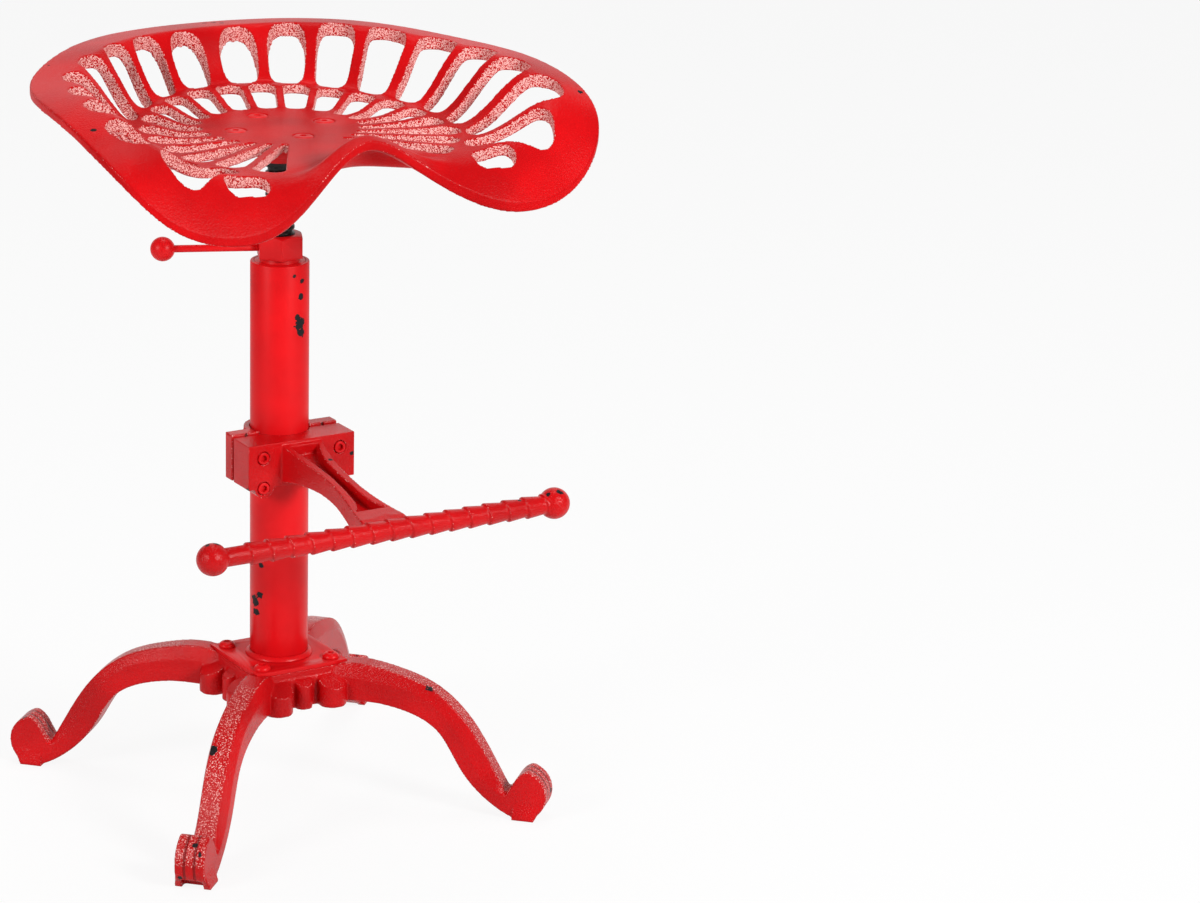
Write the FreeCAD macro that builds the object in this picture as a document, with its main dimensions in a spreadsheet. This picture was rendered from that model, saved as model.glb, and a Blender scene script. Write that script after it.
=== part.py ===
import FreeCAD, Part
import Sketcher
import math
import os

# Tractor seat stool: a pierced cast seat on a screw, a tube on a four-legged scrolled base,
# and a footrest that clamps round the tube.
# Millimetres, +Z up, the floor at z = 0 under the tube's axis, the footrest towards -Y.

V = FreeCAD.Vector
UP = V(0, 0, 1)
ALONG_Y = V(0, 1, 0)

SIZES = {
    # Column and its plate
    "column_outer": 48.3,
    "column_wall": 3.2,
    "column_top": 460.3,
    "plate_side": 84.3,
    "plate_thick": 3.2,
    "plate_top": 121.6,
    "weld_size": 4.0,
    "base_screw_radius": 45.35,
    "base_screw_shank": 8.0,
    "base_screw_head": 14.0,
    "base_screw_rise": 4.4,
    "base_screw_socket": 5.0,
    "base_screw_socket_share": 0.6,
    "screw_clearance": 0.4,
    "screw_stick_out": 1.5,
    # Base casting
    "leg_width": 25.0,
    "leg_ridge_width": 17.0,
    "leg_reach": 213.5,
    "scroll_radius": 22.0,
    "hub_bottom": 87.0,
    "hub_deck": 12.0,
    "hub_core_radius": 27.0,
    "skirt_top": 104.0,
    "skirt_wall_top": 112.0,
    "skirt_reach": 60.0,
    "skirt_lobe_radius": 12.0,
    "skirt_lobe_place": 25.0,
    "skirt_bud_radius": 7.5,
    "skirt_bud_reach": 52.0,
    "foot_sink": 0.4,
    "plate_nest_gap": 0.6,
    "base_nut_width": 13.0,
    "base_nut_thick": 6.5,
    "base_washer_outer": 16.0,
    "base_washer_thick": 1.6,
    # Screw, bushes and lock nut
    "spindle_diameter": 24.0,
    "spindle_length": 333.0,
    "running_gap": 0.05,
    "bush_length": 40.0,
    "bush_collar": 33.0,
    "bush_collar_rise": 3.0,
    "guide_length": 24.0,
    "guide_journal": 14.0,
    "guide_end_gap": 0.2,
    "guide_screw_shank": 6.0,
    "guide_screw_head": 10.0,
    "guide_screw_head_thick": 5.0,
    "guide_screw_depth": 16.0,
    "guide_tapping_depth": 18.0,
    "spindle_chamfer": 1.5,
    "guide_washer_outer": 24.0,
    "guide_washer_thick": 2.0,
    "lock_nut_width": 35.0,
    "lock_nut_thick": 19.0,
    "nut_seat_gap": 0.3,
    "lever_diameter": 6.0,
    "lever_reach": 95.0,
    "lever_rise": 7.5,
    "lever_bearing": 158.0,
    "lever_depth": 4.5,
    "knob_diameter": 20.0,
    "knob_depth": 9.0,
    # Seat
    "disc_top": 572.0,
    "disc_radius": 64.0,
    "pan_thick": 8.0,
    "rim_thick": 7.0,
    "seat_centre_y": -23.0,
    "terrace_rise": 13.0,
    "web_half_width": 5.0,
    "outer_pitch": 15.1,
    "outer_rib": 9.4,
    "inner_pitch": 14.4,
    "inner_rib": 6.5,
    "flange_diameter": 110.0,
    "flange_thick": 6.0,
    "flange_boss": 38.0,
    "flange_boss_rise": 14.0,
    "seat_screw_radius": 40.0,
    "seat_screw_shank": 8.0,
    "seat_screw_head": 17.0,
    "seat_screw_socket": 5.0,
    "seat_screw_crown": 0.4,
    "seat_screw_cone": 3.3,
    "socket_depth": 3.0,
    "seat_nut_width": 13.0,
    "seat_nut_thick": 6.5,
    # Footrest
    "clamp_gap": 0.3,
    "block_front": 40.0,
    "block_back": 12.5,
    "block_half_width": 48.5,
    "block_bottom": 281.0,
    "block_top": 318.5,
    "saddle_front": 9.5,
    "saddle_flange": 7.0,
    "saddle_wall": 5.0,
    "clamp_screw_x": 35.0,
    "clamp_screw_low": 281.4,
    "clamp_screw_high": 307.0,
    "clamp_screw_shank": 6.0,
    "clamp_screw_head": 10.0,
    "clamp_screw_rise": 6.0,
    "clamp_screw_socket": 5.0,
    "clamp_head_proud": 1.0,
    "clamp_boss_radius": 8.5,
    "clamp_nut_width": 10.0,
    "clamp_nut_thick": 5.0,
    "bar_y": 184.5,
    "bar_height": 282.8,
    "bar_diameter": 18.0,
    "bar_tooth": 1.3,
    "bar_pitch": 18.3,
    "ball_place": 153.75,
    "ball_diameter": 25.9,
    "rib_thick": 6.5,
    "web_drop": 9.0,
}

doc = FreeCAD.newDocument("tractor_seat_stool")
sheet = doc.addObject("Spreadsheet::Sheet", "sizes")
for row, (alias, value) in enumerate(SIZES.items(), start=1):
    sheet.set("A%d" % row, alias)
    sheet.set("B%d" % row, str(value))
    sheet.setAlias("B%d" % row, alias)
doc.recompute()


def size(alias):
    """The value in the sheet's cell of that name."""
    return float(getattr(sheet, alias))


def worth(expression):
    """The number that an expression on the sheet gives."""
    result = sheet.evalExpression(expression)
    return float(getattr(result, "Value", result))


nodes = []


def keep(obj, label):
    """Name a finished piece; its label is also its file's name."""
    obj.Label = label
    nodes.append(obj)
    return obj


def new_body(label):
    return doc.addObject("PartDesign::Body", label)


def origin_plane(body, role):
    return [f for f in body.Origin.OriginFeatures if f.Role == role][0]


def outline(body, name, role, corners):
    """A closed outline of straight lines. Each corner is a pair of expressions on the sheet."""
    sketch = body.newObject("Sketcher::SketchObject", name)
    sketch.AttachmentSupport = [(origin_plane(body, role), "")]
    sketch.MapMode = "FlatFace"
    points = [V(worth(a), worth(b), 0) for a, b in corners]
    count = len(points)
    for i in range(count):
        sketch.addGeometry(Part.LineSegment(points[i], points[(i + 1) % count]), False)
    for i in range(count):
        sketch.addConstraint(Sketcher.Constraint("Coincident", i, 2, (i + 1) % count, 1))
    for i, corner in enumerate(corners):
        for kind, axis, text, value in (
            ("DistanceX", -2, corner[0], points[i].x),
            ("DistanceY", -1, corner[1], points[i].y),
        ):
            if text == "0":
                sketch.addConstraint(Sketcher.Constraint("PointOnObject", i, 1, axis))
            else:
                index = sketch.addConstraint(Sketcher.Constraint(kind, -1, 1, i, 1, value))
                sketch.setExpression("Constraints[%d]" % index, text)
    return sketch


def circle(body, name, role, centre, diameter):
    """A round outline; centre is a pair of expressions, diameter one."""
    sketch = body.newObject("Sketcher::SketchObject", name)
    sketch.AttachmentSupport = [(origin_plane(body, role), "")]
    sketch.MapMode = "FlatFace"
    middle = V(worth(centre[0]), worth(centre[1]), 0)
    sketch.addGeometry(Part.Circle(middle, UP, worth(diameter) / 2), False)
    for kind, axis, text, value in (
        ("DistanceX", -2, centre[0], middle.x),
        ("DistanceY", -1, centre[1], middle.y),
    ):
        if text == "0":
            sketch.addConstraint(Sketcher.Constraint("PointOnObject", 0, 3, axis))
        else:
            index = sketch.addConstraint(Sketcher.Constraint(kind, -1, 1, 0, 3, value))
            sketch.setExpression("Constraints[%d]" % index, text)
    index = sketch.addConstraint(Sketcher.Constraint("Diameter", 0, worth(diameter)))
    sketch.setExpression("Constraints[%d]" % index, diameter)
    return sketch


def turn(body, name, sketch, cut=False):
    """Revolve an outline about its own upright axis."""
    kind = "PartDesign::Groove" if cut else "PartDesign::Revolution"
    feature = body.newObject(kind, name)
    feature.Profile = sketch
    feature.ReferenceAxis = (sketch, ["V_Axis"])
    feature.Angle = 360
    return feature


def pad(body, name, sketch, length, start, reverse=False):
    """Extrude an outline by length, from start along its plane's normal."""
    sketch.setExpression("AttachmentOffset.Base.z", start)
    feature = body.newObject("PartDesign::Pad", name)
    feature.Profile = sketch
    feature.Reversed = reverse
    feature.setExpression("Length", length)
    return feature


def pocket(body, name, sketch, length, start, reverse=False):
    """Cut an outline by length, from start."""
    sketch.setExpression("AttachmentOffset.Base.z", start)
    feature = body.newObject("PartDesign::Pocket", name)
    feature.Profile = sketch
    feature.Reversed = reverse
    feature.setExpression("Length", length)
    return feature


def polar(body, name, feature, count):
    """Repeat a feature evenly about Z."""
    pattern = body.newObject("PartDesign::PolarPattern", name)
    pattern.Originals = [feature]
    axis = [f for f in body.Origin.OriginFeatures if f.Role == "Z_Axis"][0]
    pattern.Axis = (axis, [""])
    pattern.Angle = 360
    pattern.Occurrences = count
    body.Tip = pattern
    return pattern


def hexagon(width):
    """Corners of a hexagon of that width across its flats, flats facing +X and -X."""
    half, low, high = width + " / 2", width + " / 2 / sqrt(3)", width + " / sqrt(3)"
    return [
        (half, "-" + low),
        (half, low),
        ("0", high),
        ("-" + half, low),
        ("-" + half, "-" + low),
        ("0", "-" + high),
    ]


def piece(label, shape):
    """A piece whose shape is computed from the sheet's values."""
    obj = doc.addObject("Part::Feature", label)
    obj.Shape = shape
    obj.Placement = FreeCAD.Placement()
    return keep(obj, label)


def copies(label, master, placements):
    """A group of identical fasteners, each a solid of its own, from one master."""
    doc.recompute()
    solids = []
    for place in placements:
        solid = master.Shape.copy()
        solid.Placement = place.multiply(solid.Placement)
        solids.append(solid)
    return piece(label, Part.makeCompound(solids))


def ring_places(radius, first_angle, height):
    """Four places on a circle about Z."""
    places = []
    for k in range(4):
        turned = FreeCAD.Rotation(UP, first_angle + 90 * k)
        places.append(FreeCAD.Placement(turned.multVec(V(radius, 0, height)), turned))
    return places


def spline(points):
    curve = Part.BSplineCurve()
    curve.interpolate(points)
    return curve.toShape()


def straight(a, b):
    return Part.LineSegment(a, b).toShape()


def column_tube():
    body = new_body("column_tube")
    sketch = outline(body, "column_section", "XZ_Plane", [
        ("sizes.column_outer / 2 - sizes.column_wall", "sizes.plate_top"),
        ("sizes.column_outer / 2", "sizes.plate_top"),
        ("sizes.column_outer / 2", "sizes.column_top"),
        ("sizes.column_outer / 2 - sizes.column_wall", "sizes.column_top"),
    ])
    turn(body, "column_turned", sketch)
    return keep(body, "column_tube")


def column_weld():
    body = new_body("column_weld")
    sketch = outline(body, "weld_section", "XZ_Plane", [
        ("sizes.column_outer / 2", "sizes.plate_top"),
        ("sizes.column_outer / 2 + sizes.weld_size", "sizes.plate_top"),
        ("sizes.column_outer / 2 + sizes.weld_size * 0.8", "sizes.plate_top + sizes.weld_size * 0.45"),
        ("sizes.column_outer / 2 + sizes.weld_size * 0.4", "sizes.plate_top + sizes.weld_size * 0.85"),
        ("sizes.column_outer / 2", "sizes.plate_top + sizes.weld_size"),
    ])
    turn(body, "weld_turned", sketch)
    return keep(body, "column_weld")


def base_plate():
    """Square plate, turned so that its corners point along the legs' mid lines."""
    body = new_body("base_plate")
    side = "sizes.plate_side / 2"
    sketch = outline(body, "plate_outline", "XY_Plane", [
        ("-" + side, "-" + side),
        (side, "-" + side),
        (side, side),
        ("-" + side, side),
    ])
    pad(body, "plate_padded", sketch, "sizes.plate_thick", "sizes.plate_top - sizes.plate_thick")
    doc.recompute()
    place = "sizes.base_screw_radius * sqrt(0.5)"
    hole = circle(body, "plate_hole", "XY_Plane", (place, place),
                  "sizes.base_screw_shank + sizes.screw_clearance")
    cut = pocket(body, "plate_hole_cut", hole, "sizes.plate_thick", "sizes.plate_top")
    polar(body, "plate_holes", cut, 4)
    return keep(body, "base_plate")


def base_screws():
    """Button-head screws; one is drawn on the Z axis with its head's seat at z = 0."""
    master = new_body("one_base_screw")
    shank = ("sizes.plate_thick + sizes.hub_deck + sizes.base_washer_thick"
             " + sizes.base_nut_thick + sizes.screw_stick_out")
    sketch = outline(master, "base_screw_section", "XZ_Plane", [
        ("0", "-(%s)" % shank),
        ("sizes.base_screw_shank / 2", "-(%s)" % shank),
        ("sizes.base_screw_shank / 2", "0"),
        ("sizes.base_screw_head / 2", "0"),
        ("sizes.base_screw_head / 2", "sizes.base_screw_rise * 0.35"),
        ("sizes.base_screw_head * 0.42", "sizes.base_screw_rise * 0.72"),
        ("sizes.base_screw_head * 0.28", "sizes.base_screw_rise"),
        ("0", "sizes.base_screw_rise"),
    ])
    turn(master, "base_screw_turned", sketch)
    doc.recompute()
    socket = outline(master, "base_screw_hexagon", "XY_Plane", hexagon("sizes.base_screw_socket"))
    pocket(master, "base_screw_socket_cut", socket,
           "sizes.base_screw_rise * sizes.base_screw_socket_share", "sizes.base_screw_rise")
    places = ring_places(size("base_screw_radius"), 45, size("plate_top"))
    return copies("base_screws", master, places)


def washer(name, inner, outer, thick):
    master = new_body(name)
    sketch = outline(master, name + "_section", "XZ_Plane", [
        (inner, "0"), (outer, "0"), (outer, thick), (inner, thick),
    ])
    turn(master, name + "_turned", sketch)
    return master


def nut(name, width, bore, thick):
    master = new_body(name)
    sketch = outline(master, name + "_hexagon", "XY_Plane", hexagon(width))
    pad(master, name + "_padded", sketch, thick, "0")
    doc.recompute()
    hole = circle(master, name + "_bore", "XY_Plane", ("0", "0"), bore)
    pocket(master, name + "_bored", hole, thick, thick)
    return master


def base_washers_and_nuts():
    under = size("plate_top") - size("plate_thick") - size("hub_deck")
    master = washer(
        "one_base_washer",
        "(sizes.base_screw_shank + sizes.screw_clearance) / 2",
        "sizes.base_washer_outer / 2",
        "sizes.base_washer_thick",
    )
    copies("base_washers", master,
           ring_places(size("base_screw_radius"), 45, under - size("base_washer_thick")))
    master = nut("one_base_nut", "sizes.base_nut_width", "sizes.base_screw_shank",
                 "sizes.base_nut_thick")
    low = under - size("base_washer_thick") - size("base_nut_thick")
    copies("base_nuts", master, ring_places(size("base_screw_radius"), 45, low))


def leg_section(offset, crown):
    """Side outline of a leg along +X in the plane y = offset, with crown as its upper line."""
    reach, scroll, bottom = size("leg_reach"), size("scroll_radius"), size("hub_bottom")
    centre = scroll - size("foot_sink")

    def at(along, height):
        return V(along, offset, height)

    def on_scroll(degrees):
        angle = math.radians(degrees)
        return at(reach + scroll * math.cos(angle), centre + scroll * math.sin(angle))

    upper = [at(x, z) for x, z in crown]
    nose = on_scroll(75)
    lip = [
        nose,
        at(reach - 0.1 * scroll, 1.72 * scroll),
        at(reach - 0.36 * scroll, 1.3 * scroll),
        upper[-1],
    ]
    under = [on_scroll(-95)] + [
        at(x, z)
        for x, z in (
            (reach - 29, 0.65 * scroll),
            (reach - 52, 0.45 * bottom),
            (reach - 73, 0.82 * bottom),
            (reach - 102, 0.985 * bottom),
            (reach - 163.5, bottom),
        )
    ]
    round_part = Part.Arc(nose, on_scroll(-10), under[0]).toShape()
    edges = [
        spline(upper),
        spline(lip[::-1]),
        round_part,
        spline(under),
        straight(under[-1], upper[0]),
    ]
    return Part.Wire(edges)


def leg():
    """One leg along +X: flat sides, a narrower ridge above, and the scroll it stands on."""
    reach, scroll = size("leg_reach"), size("scroll_radius")
    top = size("plate_top")
    ridge = [
        (reach - 163.5, top - size("plate_thick")),
        (reach - 152, top - 0.5),
        (reach - 113, top - 4.2),
        (reach - 79, top - 16),
        (reach - 52, top - 38),
        (reach - 26, 2 * scroll),
        (reach - 13.5, 0.98 * scroll),
    ]
    groove = [
        (reach - 163.5, top - 12),
        (reach - 152, top - 12),
        (reach - 113, top - 15.5),
        (reach - 84, top - 24),
        (reach - 55, top - 51),
        (reach - 29, 1.33 * scroll),
        (reach - 13.5, 0.9 * scroll),
    ]
    half, narrow = size("leg_width") / 2, size("leg_ridge_width") / 2
    wires = [
        leg_section(-half, groove),
        leg_section(-narrow, ridge),
        leg_section(narrow, ridge),
        leg_section(half, groove),
    ]
    return Part.makeLoft(wires, True, True)


def skirt_outline():
    """Half of one side of the lobed skirt, x >= 0, from its middle to its leg."""
    reach, place, lobe = size("skirt_reach"), size("skirt_lobe_place"), size("skirt_lobe_radius")
    bud, bud_reach = size("skirt_bud_radius"), size("skirt_bud_reach")
    big = Part.makeCylinder(lobe, 60, V(place, -(reach - lobe), 60))
    small = Part.makeCylinder(bud, 60, V(0, -(bud_reach - bud), 60))
    return [big, big.mirror(V(0, 0, 0), V(1, 0, 0)), small]


def base_casting():
    """Four legs, the square hub under the plate and the lobed skirt between the legs."""
    deck = size("plate_top") - size("plate_thick")
    side, bottom = size("plate_side"), size("hub_bottom")
    one_leg = leg()
    quarter = skirt_outline()
    solids = []
    for k in range(4):
        for solid in quarter:
            lobe = solid.copy()
            lobe.rotate(V(0, 0, 0), UP, 90 * k)
            solids.append(lobe)
    core = Part.makeBox(side + 2, side + 2, deck - 60, V(-side / 2 - 1, -side / 2 - 1, 60))
    skirt = core.multiFuse(solids)
    reach = size("skirt_reach") + 6
    low, wall, rise = size("skirt_top"), size("skirt_wall_top"), size("plate_side") / 2
    squares = []
    for half, height in ((reach, bottom), (reach, low - 3), (rise, wall), (rise, deck)):
        squares.append(Part.makePolygon([
            V(-half, -half, height), V(half, -half, height), V(half, half, height),
            V(-half, half, height), V(-half, -half, height),
        ]))
    envelope = Part.makeLoft(squares, True, True)
    skirt = skirt.common(envelope)
    legs = []
    for k in range(4):
        turned = one_leg.copy()
        turned.rotate(V(0, 0, 0), UP, 45 + 90 * k)
        legs.append(turned)
    casting = skirt.multiFuse(legs)
    tools = [Part.makeCylinder(size("hub_core_radius"), deck - size("hub_deck") - bottom + 5,
                               V(0, 0, bottom - 5))]
    nest = side + 2 * size("plate_nest_gap")
    tools.append(Part.makeBox(nest, nest, 20, V(-nest / 2, -nest / 2, deck)))
    floor = 4 * size("leg_reach")
    tools.append(Part.makeBox(floor, floor, 10, V(-floor / 2, -floor / 2, -10)))
    for place in ring_places(size("base_screw_radius"), 45, 0):
        x, y = place.Base.x, place.Base.y
        shank = size("base_screw_shank") + size("screw_clearance")
        tools.append(Part.makeCylinder(shank / 2, deck, V(x, y, 10)))
        pocket_radius = size("base_washer_outer") / 2 + 1
        tools.append(Part.makeCylinder(pocket_radius, deck - size("hub_deck") - 10, V(x, y, 10)))
    casting = casting.cut(Part.makeCompound(tools)).removeSplitter()
    return piece("base_casting", casting)


def threaded_bush():
    """Bush pressed into the tube's mouth; the screw runs in it, its collar carries the nut."""
    body = new_body("threaded_bush")
    bore = "sizes.spindle_diameter / 2 + sizes.running_gap"
    inside = "sizes.column_outer / 2 - sizes.column_wall"
    sketch = outline(body, "bush_section", "XZ_Plane", [
        (bore, "sizes.column_top - sizes.bush_length"),
        (inside, "sizes.column_top - sizes.bush_length"),
        (inside, "sizes.column_top"),
        ("sizes.bush_collar / 2", "sizes.column_top"),
        ("sizes.bush_collar / 2", "sizes.column_top + sizes.bush_collar_rise"),
        (bore, "sizes.column_top + sizes.bush_collar_rise"),
    ])
    turn(body, "bush_turned", sketch)
    return keep(body, "threaded_bush")


SPINDLE_TOP = "sizes.disc_top - sizes.pan_thick"
SPINDLE_LOW = SPINDLE_TOP + " - sizes.spindle_length"


def spindle():
    """The long screw, with a journal at its foot for the guide bush."""
    body = new_body("spindle")
    sketch = outline(body, "spindle_section", "XZ_Plane", [
        ("0", SPINDLE_LOW + " - sizes.guide_length"),
        ("sizes.guide_journal / 2", SPINDLE_LOW + " - sizes.guide_length"),
        ("sizes.guide_journal / 2", SPINDLE_LOW),
        ("sizes.spindle_diameter / 2 - sizes.spindle_chamfer", SPINDLE_LOW),
        ("sizes.spindle_diameter / 2", SPINDLE_LOW + " + sizes.spindle_chamfer"),
        ("sizes.spindle_diameter / 2", SPINDLE_TOP),
        ("0", SPINDLE_TOP),
    ])
    turn(body, "spindle_turned", sketch)
    doc.recompute()
    hole = circle(body, "spindle_tapping", "XY_Plane", ("0", "0"), "sizes.guide_screw_shank")
    pocket(body, "spindle_tapped", hole, "sizes.guide_tapping_depth",
           SPINDLE_LOW + " - sizes.guide_length", reverse=True)
    return keep(body, "spindle")


def guide_bush():
    body = new_body("guide_bush")
    bore = "sizes.guide_journal / 2 + sizes.running_gap"
    outer = "sizes.column_outer / 2 - sizes.column_wall - sizes.running_gap"
    low = SPINDLE_LOW + " - sizes.guide_length + sizes.guide_end_gap"
    high = SPINDLE_LOW + " - sizes.guide_end_gap"
    sketch = outline(body, "guide_section", "XZ_Plane", [
        (bore, low), (outer + " - 1", low), (outer, low + " + 1"),
        (outer, high + " - 1"), (outer + " - 1", high), (bore, high),
    ])
    turn(body, "guide_turned", sketch)
    return keep(body, "guide_bush")


def guide_washer_and_screw():
    foot = SPINDLE_LOW + " - sizes.guide_length"
    body = new_body("guide_washer")
    hole = "(sizes.guide_screw_shank + sizes.screw_clearance) / 2"
    sketch = outline(body, "guide_washer_section", "XZ_Plane", [
        (hole, foot + " - sizes.guide_washer_thick"),
        ("sizes.guide_washer_outer / 2", foot + " - sizes.guide_washer_thick"),
        ("sizes.guide_washer_outer / 2", foot),
        (hole, foot),
    ])
    turn(body, "guide_washer_turned", sketch)
    keep(body, "guide_washer")
    body = new_body("guide_screw")
    seat = foot + " - sizes.guide_washer_thick"
    sketch = outline(body, "guide_screw_section", "XZ_Plane", [
        ("0", seat + " - sizes.guide_screw_head_thick"),
        ("sizes.guide_screw_head / 2", seat + " - sizes.guide_screw_head_thick"),
        ("sizes.guide_screw_head / 2", seat),
        ("sizes.guide_screw_shank / 2", seat),
        ("sizes.guide_screw_shank / 2", foot + " + sizes.guide_screw_depth"),
        ("0", foot + " + sizes.guide_screw_depth"),
    ])
    turn(body, "guide_screw_turned", sketch)
    keep(body, "guide_screw")


NUT_LOW = "sizes.column_top + sizes.bush_collar_rise + sizes.nut_seat_gap"


def lock_nut():
    """Hexagon nut with its upper corners turned off, and a tapped side hole for the lever."""
    body = new_body("lock_nut")
    sketch = outline(body, "lock_nut_hexagon", "XY_Plane", hexagon("sizes.lock_nut_width"))
    pad(body, "lock_nut_padded", sketch, "sizes.lock_nut_thick", NUT_LOW)
    doc.recompute()
    hole = circle(body, "lock_nut_bore", "XY_Plane", ("0", "0"),
                  "sizes.spindle_diameter + 2 * sizes.running_gap")
    pocket(body, "lock_nut_bored", hole, "sizes.lock_nut_thick",
           NUT_LOW + " + sizes.lock_nut_thick")
    doc.recompute()
    high = NUT_LOW + " + sizes.lock_nut_thick"
    corner = "sizes.lock_nut_width / 2"
    edge = outline(body, "lock_nut_corner", "XZ_Plane", [
        (corner, high),
        (corner + " * 1.2", high),
        (corner + " * 1.2", high + " - sizes.lock_nut_width * 0.07"),
    ])
    turn(body, "lock_nut_chamfered", edge, cut=True)
    doc.recompute()
    side = circle(body, "lever_tapping", "YZ_Plane", ("0", NUT_LOW + " + sizes.lever_rise"),
                  "sizes.lever_diameter")
    pocket(body, "lever_tapped", side, "sizes.lever_depth", "sizes.lock_nut_width / 2")
    doc.recompute()
    body.Placement = FreeCAD.Placement(V(0, 0, 0), FreeCAD.Rotation(UP, size("lever_bearing")))
    return keep(body, "lock_nut")


def lever_axis():
    """Where the lever starts and the way it points."""
    angle = math.radians(size("lever_bearing"))
    way = V(math.cos(angle), math.sin(angle), 0)
    height = worth(NUT_LOW + " + sizes.lever_rise")
    return way, height


def lock_lever():
    way, height = lever_axis()
    body = new_body("lock_lever")
    sketch = circle(body, "lever_section", "XY_Plane", ("0", "0"), "sizes.lever_diameter")
    pad(body, "lever_padded", sketch,
        "sizes.lever_reach - sizes.knob_diameter / 2 + sizes.knob_depth"
        " - sizes.lock_nut_width / 2 + sizes.lever_depth",
        "sizes.lock_nut_width / 2 - sizes.lever_depth")
    body.Placement = FreeCAD.Placement(V(0, 0, height), FreeCAD.Rotation(UP, way))
    return keep(body, "lock_lever")


def lever_knob():
    way, height = lever_axis()
    body = new_body("lever_knob")
    sketch = body.newObject("Sketcher::SketchObject", "knob_section")
    sketch.AttachmentSupport = [(origin_plane(body, "XZ_Plane"), "")]
    sketch.MapMode = "FlatFace"
    radius = size("knob_diameter") / 2
    ball = Part.Circle(V(0, 0, 0), UP, radius)
    sketch.addGeometry(Part.ArcOfCircle(ball, -math.pi / 2, math.pi / 2), False)
    sketch.addGeometry(Part.LineSegment(V(0, radius, 0), V(0, -radius, 0)), False)
    sketch.addConstraint(Sketcher.Constraint("Coincident", 0, 2, 1, 1))
    sketch.addConstraint(Sketcher.Constraint("Coincident", 1, 2, 0, 1))
    sketch.addConstraint(Sketcher.Constraint("Coincident", 0, 3, -1, 1))
    sketch.addConstraint(Sketcher.Constraint("PointOnObject", 0, 1, -2))
    index = sketch.addConstraint(Sketcher.Constraint("Radius", 0, radius))
    sketch.setExpression("Constraints[%d]" % index, "sizes.knob_diameter / 2")
    turn(body, "knob_turned", sketch)
    doc.recompute()
    hole = circle(body, "knob_tapping", "XY_Plane", ("0", "0"), "sizes.lever_diameter")
    pocket(body, "knob_tapped", hole, "sizes.knob_depth", "-sizes.knob_diameter / 2", reverse=True)
    reach = size("lever_reach")
    place = V(way.x * reach, way.y * reach, height)
    body.Placement = FreeCAD.Placement(place, FreeCAD.Rotation(UP, way))
    return keep(body, "lever_knob")


# Stations of the seat's right half, rear to front: the rim's x and y, the height that the dish
# climbs there, how far the rim rolls down, and the web ring's and the rim flange's places as
# shares of the way out from the slots' centre.
SEAT_STATIONS = (
    (0, 169, 56, 4, 0.66, 0.828),
    (75, 153, 57, 4, 0.66, 0.83),
    (146, 105, 56, 4, 0.64, 0.84),
    (197, 47, 50, 5, 0.61, 0.845),
    (220, -59, 48, 8, 0.58, 0.852),
    (207, -153, 28, 22, 0.575, 0.865),
    (174, -174, 12, 37, 0.60, 0.857),
    (115, -184, 6, 41, 0.72, 0.88),
    (44, -161, 16, 19, 0.74, 0.92),
    (0, -152, 26, 7, 0.70, 0.93),
)


def smooth(share):
    share = min(max(share, 0), 1)
    return share * share * (3 - 2 * share)


def seat_height(station, reach):
    """Height of the seat's top at one station, reach being measured from the slots' centre."""
    x, y, climb, roll, web, flange = station
    rim = math.hypot(x, y - size("seat_centre_y"))
    back = math.cos(math.atan2(x, y - size("seat_centre_y")) / 2) ** 4
    terrace = size("terrace_rise") * back
    ring = web * rim
    height = size("disc_top") + terrace * smooth((reach - 0.68 * ring) / (0.27 * ring))
    height += (climb - terrace) * smooth((reach - ring) / (flange * rim - ring))
    edge = min(60, rim * 0.35)
    return height - roll * max(0, (reach - rim + edge) / edge) ** 2


def ring_points(share, depth=0):
    """Points of a ring round the seat; share gives a station's reach, depth drops it under."""
    centre = size("seat_centre_y")
    half = []
    for station in SEAT_STATIONS:
        x, y = station[:2]
        rim = math.hypot(x, y - centre)
        reach = share(rim, station[4] * rim, station[5] * rim)
        height = seat_height(station, reach)
        if depth:
            slope = seat_height(station, reach) - seat_height(station, reach - 1)
            height -= depth * math.hypot(1, slope)
        half.append(V(x * reach / rim, centre + (y - centre) * reach / rim, height))
    return half + [V(-p.x, p.y, p.z) for p in half[-2:0:-1]]


def seat_ring(share, depth=0):
    """A closed curve through a ring's points; all rings are timed by the rim's spacing."""
    rim = ring_points(lambda rim, web, flange: rim)
    timing = [0]
    for i, point in enumerate(rim):
        timing.append(timing[-1] + point.distanceToPoint(rim[(i + 1) % len(rim)]))
    curve = Part.BSplineCurve()
    curve.interpolate(Points=ring_points(share, depth), PeriodicFlag=True, Parameters=timing)
    return curve


def seat_shell():
    """The dished pan before it is pierced: lofts over its top, rim and underside."""
    shares = [lambda rim, web, flange, k=k: (0.68 + 0.09 * k) * web for k in range(4)]
    shares += [lambda rim, web, flange, k=k: web + k / 5 * (flange - web) for k in range(5)]
    shares += [lambda rim, web, flange, k=k: flange + k / 3 * (rim - flange) for k in range(4)]
    top = [Part.Wire(seat_ring(share).toShape()) for share in shares]
    under = [Part.Wire(seat_ring(share, size("pan_thick")).toShape()) for share in shares[:-1]]
    edge = top[-1].copy()
    edge.translate(V(0, 0, -size("rim_thick")))
    under.append(edge)
    faces = []
    for wires, ruled in ((top, False), (under, False), ([top[-1], edge], True)):
        faces += Part.makeLoft(wires, False, ruled).Faces
    faces.append(Part.Face(top[0]))
    faces.append(Part.Face(under[0]))
    shell = Part.makeShell(faces)
    shell.sewShape()
    return Part.makeSolid(shell)


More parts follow.
